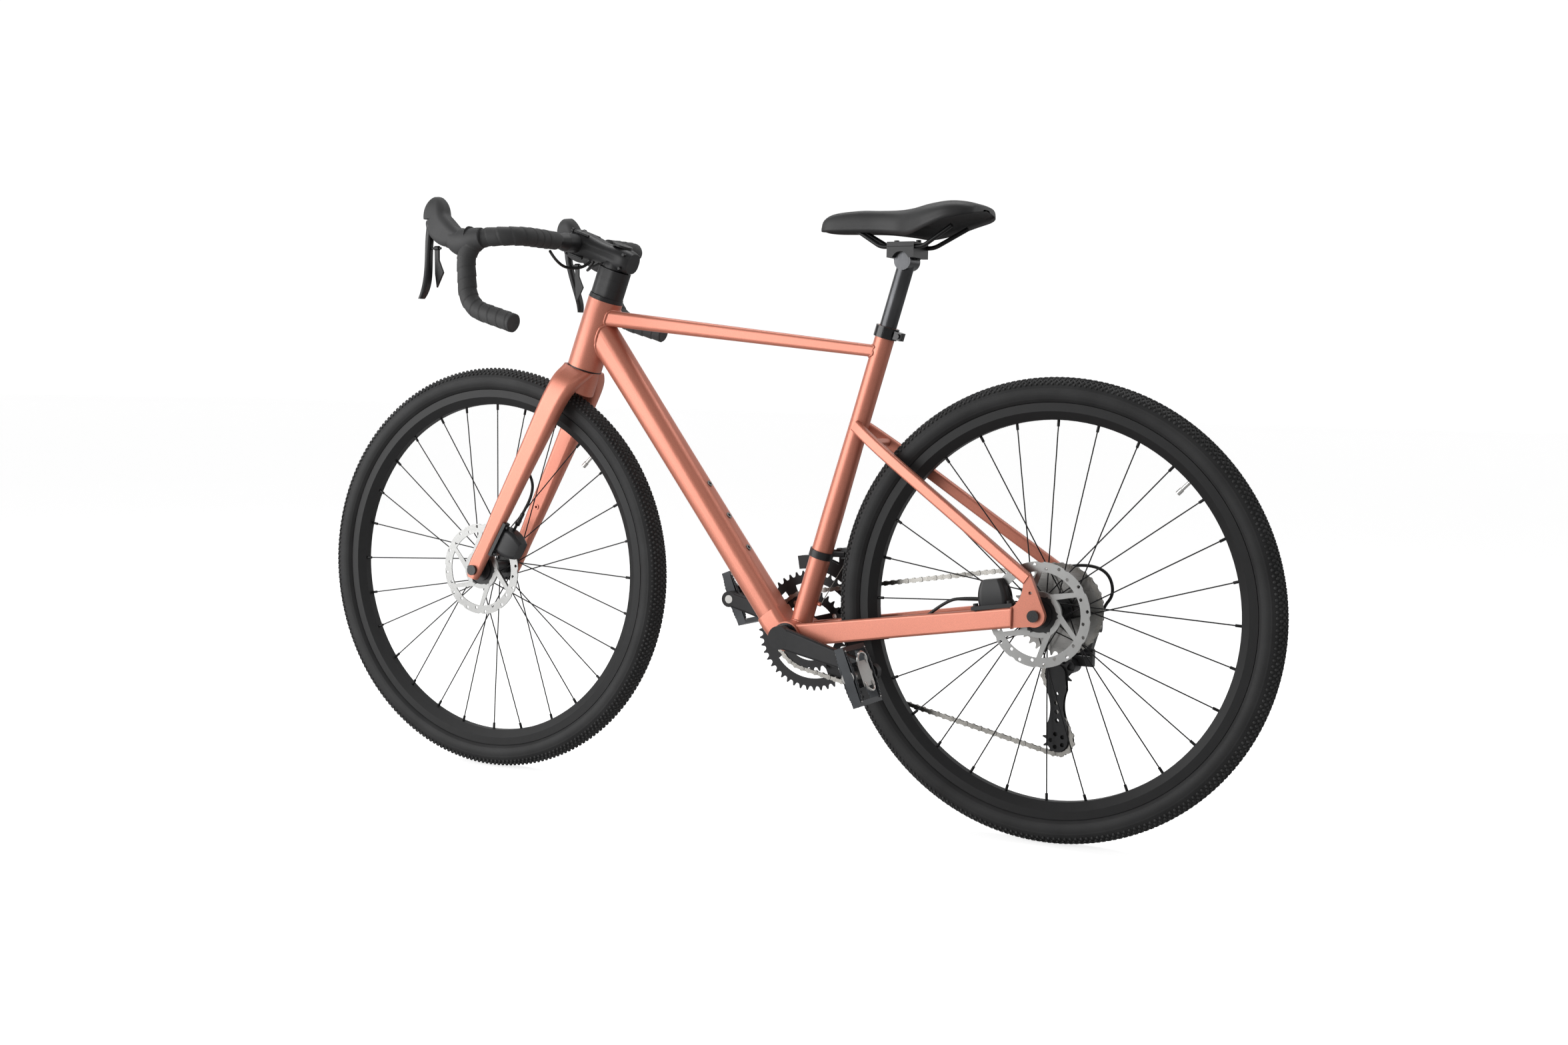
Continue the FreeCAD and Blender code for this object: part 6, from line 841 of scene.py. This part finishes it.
def make_clips(side, sign):
    """Four bent rods and two faces of six-sided pins, turned by the pedal's tilt about its spindle."""
    points, faces, start = [], [], 0
    for flip in (1, -1):
        for bend in (BAIL, CLAW):
            rod = smooth_line(bend * (1, 1, flip), ROD_RINGS)
            points.append(tube_points(rod, ROD_RADIUS, ROD_AROUND, np.array([0.05, 0.1, 1.0])).reshape(-1, 3))
            ends = np.stack([np.arange(ROD_AROUND), np.arange(ROD_POINTS - ROD_AROUND, ROD_POINTS)])
            faces.extend((grid_faces(ROD_RINGS, ROD_AROUND, False, True) + start, ends + start))
            start += ROD_POINTS
        turn = np.linspace(0, 2 * np.pi, STUD_SIDES, endpoint=False)
        circle = np.stack([np.cos(turn), np.sin(turn), 0 * turn], axis=1)
        pins = PINS[:, None, None] + circle * PIN_LEVELS[:, None, :1]
        pins = pins + np.array([0, 0, flip]) * PIN_LEVELS[:, None, 1:]
        points.append(pins.reshape(-1, 3))
        faces.extend(stud_faces(len(PINS), start))
        start += len(PINS) * STUD_POINTS
    placed = on_pedal(np.vstack(points), side, sign)
    clips = face_outwards(make_piece("pedal_clips_" + side, placed * MM, faces))
    clips.data.materials.append(valve_silver)
    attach(clips, side + "_pedal")


for side, sign in SIDES:
    make_clips(side, sign)
    make_plates(side, sign)
    apart = face_middles(side + "_pedal") - (PEDAL_EYES[side][0], 0, PEDAL_EYES[side][1])
    height = np.abs(apart @ (-math.sin(PEDAL_TILT), 0, math.cos(PEDAL_TILT)))
    second_finish(side + "_pedal", height > BODY_HALF, brushed_steel)

# %% [markdown]
# Behind each lever the rubber hood runs on as a sleeve around the bend of the bar, so the hand meets no
# step. Its section is an ellipse that grows from the tape's width to the hood's height.

# %% Hood sleeves
SLEEVE = np.array([(404, 204, 921.5), (416, 205, 919.5), (430, 205.5, 916), (446, 204.5, 915), (457, 203.4, 919),
                   (463, 202.6, 924.5), (468, 202, 930)], float)
SLEEVE_RINGS, SLEEVE_AROUND = 60, 48
SLEEVE_WIDE = np.array([16.4, 17.2, 18.0, 18.3, 18.0, 16.5, 13.0])
SLEEVE_TALL = np.array([16.6, 18.5, 21.5, 23.0, 20.5, 16.0, 10.0])


def make_sleeve(side, sign):
    """Elliptic rings along the route, with an inner ring at the rear and both ends closed."""
    route = smooth_line(SLEEVE, SLEEVE_RINGS)
    share = np.linspace(0, 1, SLEEVE_RINGS)
    stations = np.linspace(0, 1, len(SLEEVE))
    wide, tall = (np.interp(share, stations, row)[:, None] for row in (SLEEVE_WIDE, SLEEVE_TALL))
    turn = np.linspace(0, 2 * np.pi, SLEEVE_AROUND, endpoint=False)[None]
    radius = 1 / np.sqrt((np.cos(turn) / wide) ** 2 + (np.sin(turn) / tall) ** 2)
    rings = tube_points(route, radius, SLEEVE_AROUND, SIDEWAYS)
    closed = np.concatenate([route[:1, None] + (rings[:1] - route[:1, None]) * 0.9, rings])
    loop = np.arange(SLEEVE_AROUND)[None]
    faces = [grid_faces(len(closed), SLEEVE_AROUND, False, True), loop, loop + SLEEVE_RINGS * SLEEVE_AROUND]
    sleeve = face_outwards(make_piece("hood_sleeve_" + side, closed.reshape(-1, 3) * (1, sign, 1) * MM, faces))
    sleeve.data.materials.append(hood_rubber)
    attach(sleeve, "steering")


for side, sign in SIDES:
    make_sleeve(side, sign)

# %% [markdown]
# The stage is plain and white. The floor glows a little, but only to the camera: that whitens the picture
# without throwing more light up at the bike, as a brighter floor would.

# %% Floor
FLOOR_HALF = 60.0
floor_mesh = bpy.data.meshes.new("floor")
floor_mesh.from_pydata([(x * FLOOR_HALF, y * FLOOR_HALF, 0) for x, y in ((-1, -1), (1, -1), (1, 1), (-1, 1))], [],
                       [(0, 1, 2, 3)])
floor = bpy.data.objects.new("floor", floor_mesh)
bpy.context.scene.collection.objects.link(floor)
pale_floor = finish("pale_floor", (0.55, 0.55, 0.55), 0.8, scale=30.0, drift=0.01, spread=0.03, bump=0.0)
floor_mesh.materials.append(pale_floor)
seen = pale_floor.node_tree.nodes.new("ShaderNodeLightPath")
glow = pale_floor.node_tree.nodes.new("ShaderNodeMath")
glow.operation = "MULTIPLY"
glow.inputs[1].default_value = 0.75
shader = pale_floor.node_tree.nodes["Principled BSDF"]
shader.inputs["Emission Color"].default_value = (1, 1, 1, 1)
pale_floor.node_tree.links.new(seen.outputs["Is Camera Ray"], glow.inputs[0])
pale_floor.node_tree.links.new(glow.outputs[0], shader.inputs["Emission Strength"])
print("floor", 2 * FLOOR_HALF, "m across")

# %% [markdown]
# The world stands for white walls. It is bright on the drive side and low down, and dim above, so dark
# rubber and black metal keep their shape. Rays from the camera see plain white.

# %% Studio walls
world = bpy.data.worlds.new("studio")
bpy.context.scene.world = world
world.use_nodes = True
sky = world.node_tree
heading = sky.nodes.new("ShaderNodeTexCoord")
apart = sky.nodes.new("ShaderNodeSeparateXYZ")
sky.links.new(heading.outputs["Generated"], apart.inputs[0])
wall = map_range(sky, apart.outputs["Y"], -0.5, 0.1, 0.75, 0.0)
ceiling = map_range(sky, apart.outputs["Z"], 0.2, 0.5, 1.0, 0.1)
lit = sky.nodes.new("ShaderNodeMath")
lit.operation = "MULTIPLY_ADD"
lit.inputs[2].default_value = 0.3
path = sky.nodes.new("ShaderNodeLightPath")
shown = sky.nodes.new("ShaderNodeMath")
shown.operation = "MAXIMUM"
sky.links.new(wall, lit.inputs[0])
sky.links.new(ceiling, lit.inputs[1])
sky.links.new(lit.outputs[0], shown.inputs[0])
sky.links.new(path.outputs["Is Camera Ray"], shown.inputs[1])
sky.nodes["Background"].inputs["Color"].default_value = (1, 1, 1, 1)
sky.links.new(shown.outputs[0], sky.nodes["Background"].inputs["Strength"])
bpy.context.scene.view_settings.view_transform = "Standard"
print("studio walls", len(sky.nodes), "nodes")

# %% [markdown]
# Three soft boxes light the bike: a broad one at the front left gives the long highlights on the tubes, a
# small one lifts the rear, and one above draws the upper edges. An area lamp shines along its own minus Z.

# %% Soft boxes


def placed_axes(right, up, back, place):
    """A matrix whose columns are the three axes of a lamp or camera, and its place."""
    return Matrix([[right[k], up[k], back[k], place[k]] for k in range(3)] + [[0, 0, 0, 1]])


def softbox(name, place, aim, width, height, watts):
    """A rectangular lamp at a place, its back turned away from the point it aims at."""
    lamp = bpy.data.lights.new(name, "AREA")
    lamp.shape = "RECTANGLE"
    lamp.size = width
    lamp.size_y = height
    lamp.energy = watts
    holder = bpy.data.objects.new(name, lamp)
    bpy.context.scene.collection.objects.link(holder)
    back = unit(np.array(place, float) - np.array(aim, float))
    right = unit(np.cross((0, 0, 1), back))
    up = np.cross(back, right)
    holder.matrix_world = placed_axes(right, up, back, place)


softbox("key", (2.6, 2.8, 1.2), (0.1, 0, 0.55), 4.2, 2.6, 155)
softbox("fill", (-2.6, 2.6, 2.6), (-0.2, 0, 0.5), 1.8, 1.6, 9)
softbox("top", (0.1, -0.8, 3.0), (0, 0, 0.4), 3.6, 1.0, 42)
print("lamps", len(bpy.data.lights))

# %% [markdown]
# The camera has the lens, the place and the angles that were fitted to the outlines of both wheels.

# %% Camera
LENS, SENSOR_WIDTH = 42.58, 36  # millimetres
EYE = np.array([-1.48741, 2.66731, 0.67688])
YAW, PITCH, ROLL = (math.radians(a) for a in (28.17, 3.9677, 1.2792))
look = np.array([math.sin(YAW) * math.cos(PITCH), -math.cos(YAW) * math.cos(PITCH), -math.sin(PITCH)])
right = unit(np.cross(look, (0, 0, 1)))
up = np.cross(right, look)
right, up = math.cos(ROLL) * right + math.sin(ROLL) * up, math.cos(ROLL) * up - math.sin(ROLL) * right
camera = bpy.data.cameras.new("camera")
camera.lens = LENS
camera.sensor_width = SENSOR_WIDTH
camera.clip_end = 100
eye = bpy.data.objects.new("camera", camera)
bpy.context.scene.collection.objects.link(eye)
eye.matrix_world = placed_axes(right, up, -look, EYE)
bpy.context.scene.camera = eye
bpy.context.view_layer.update()
print("camera", LENS, "mm lens at", EYE)
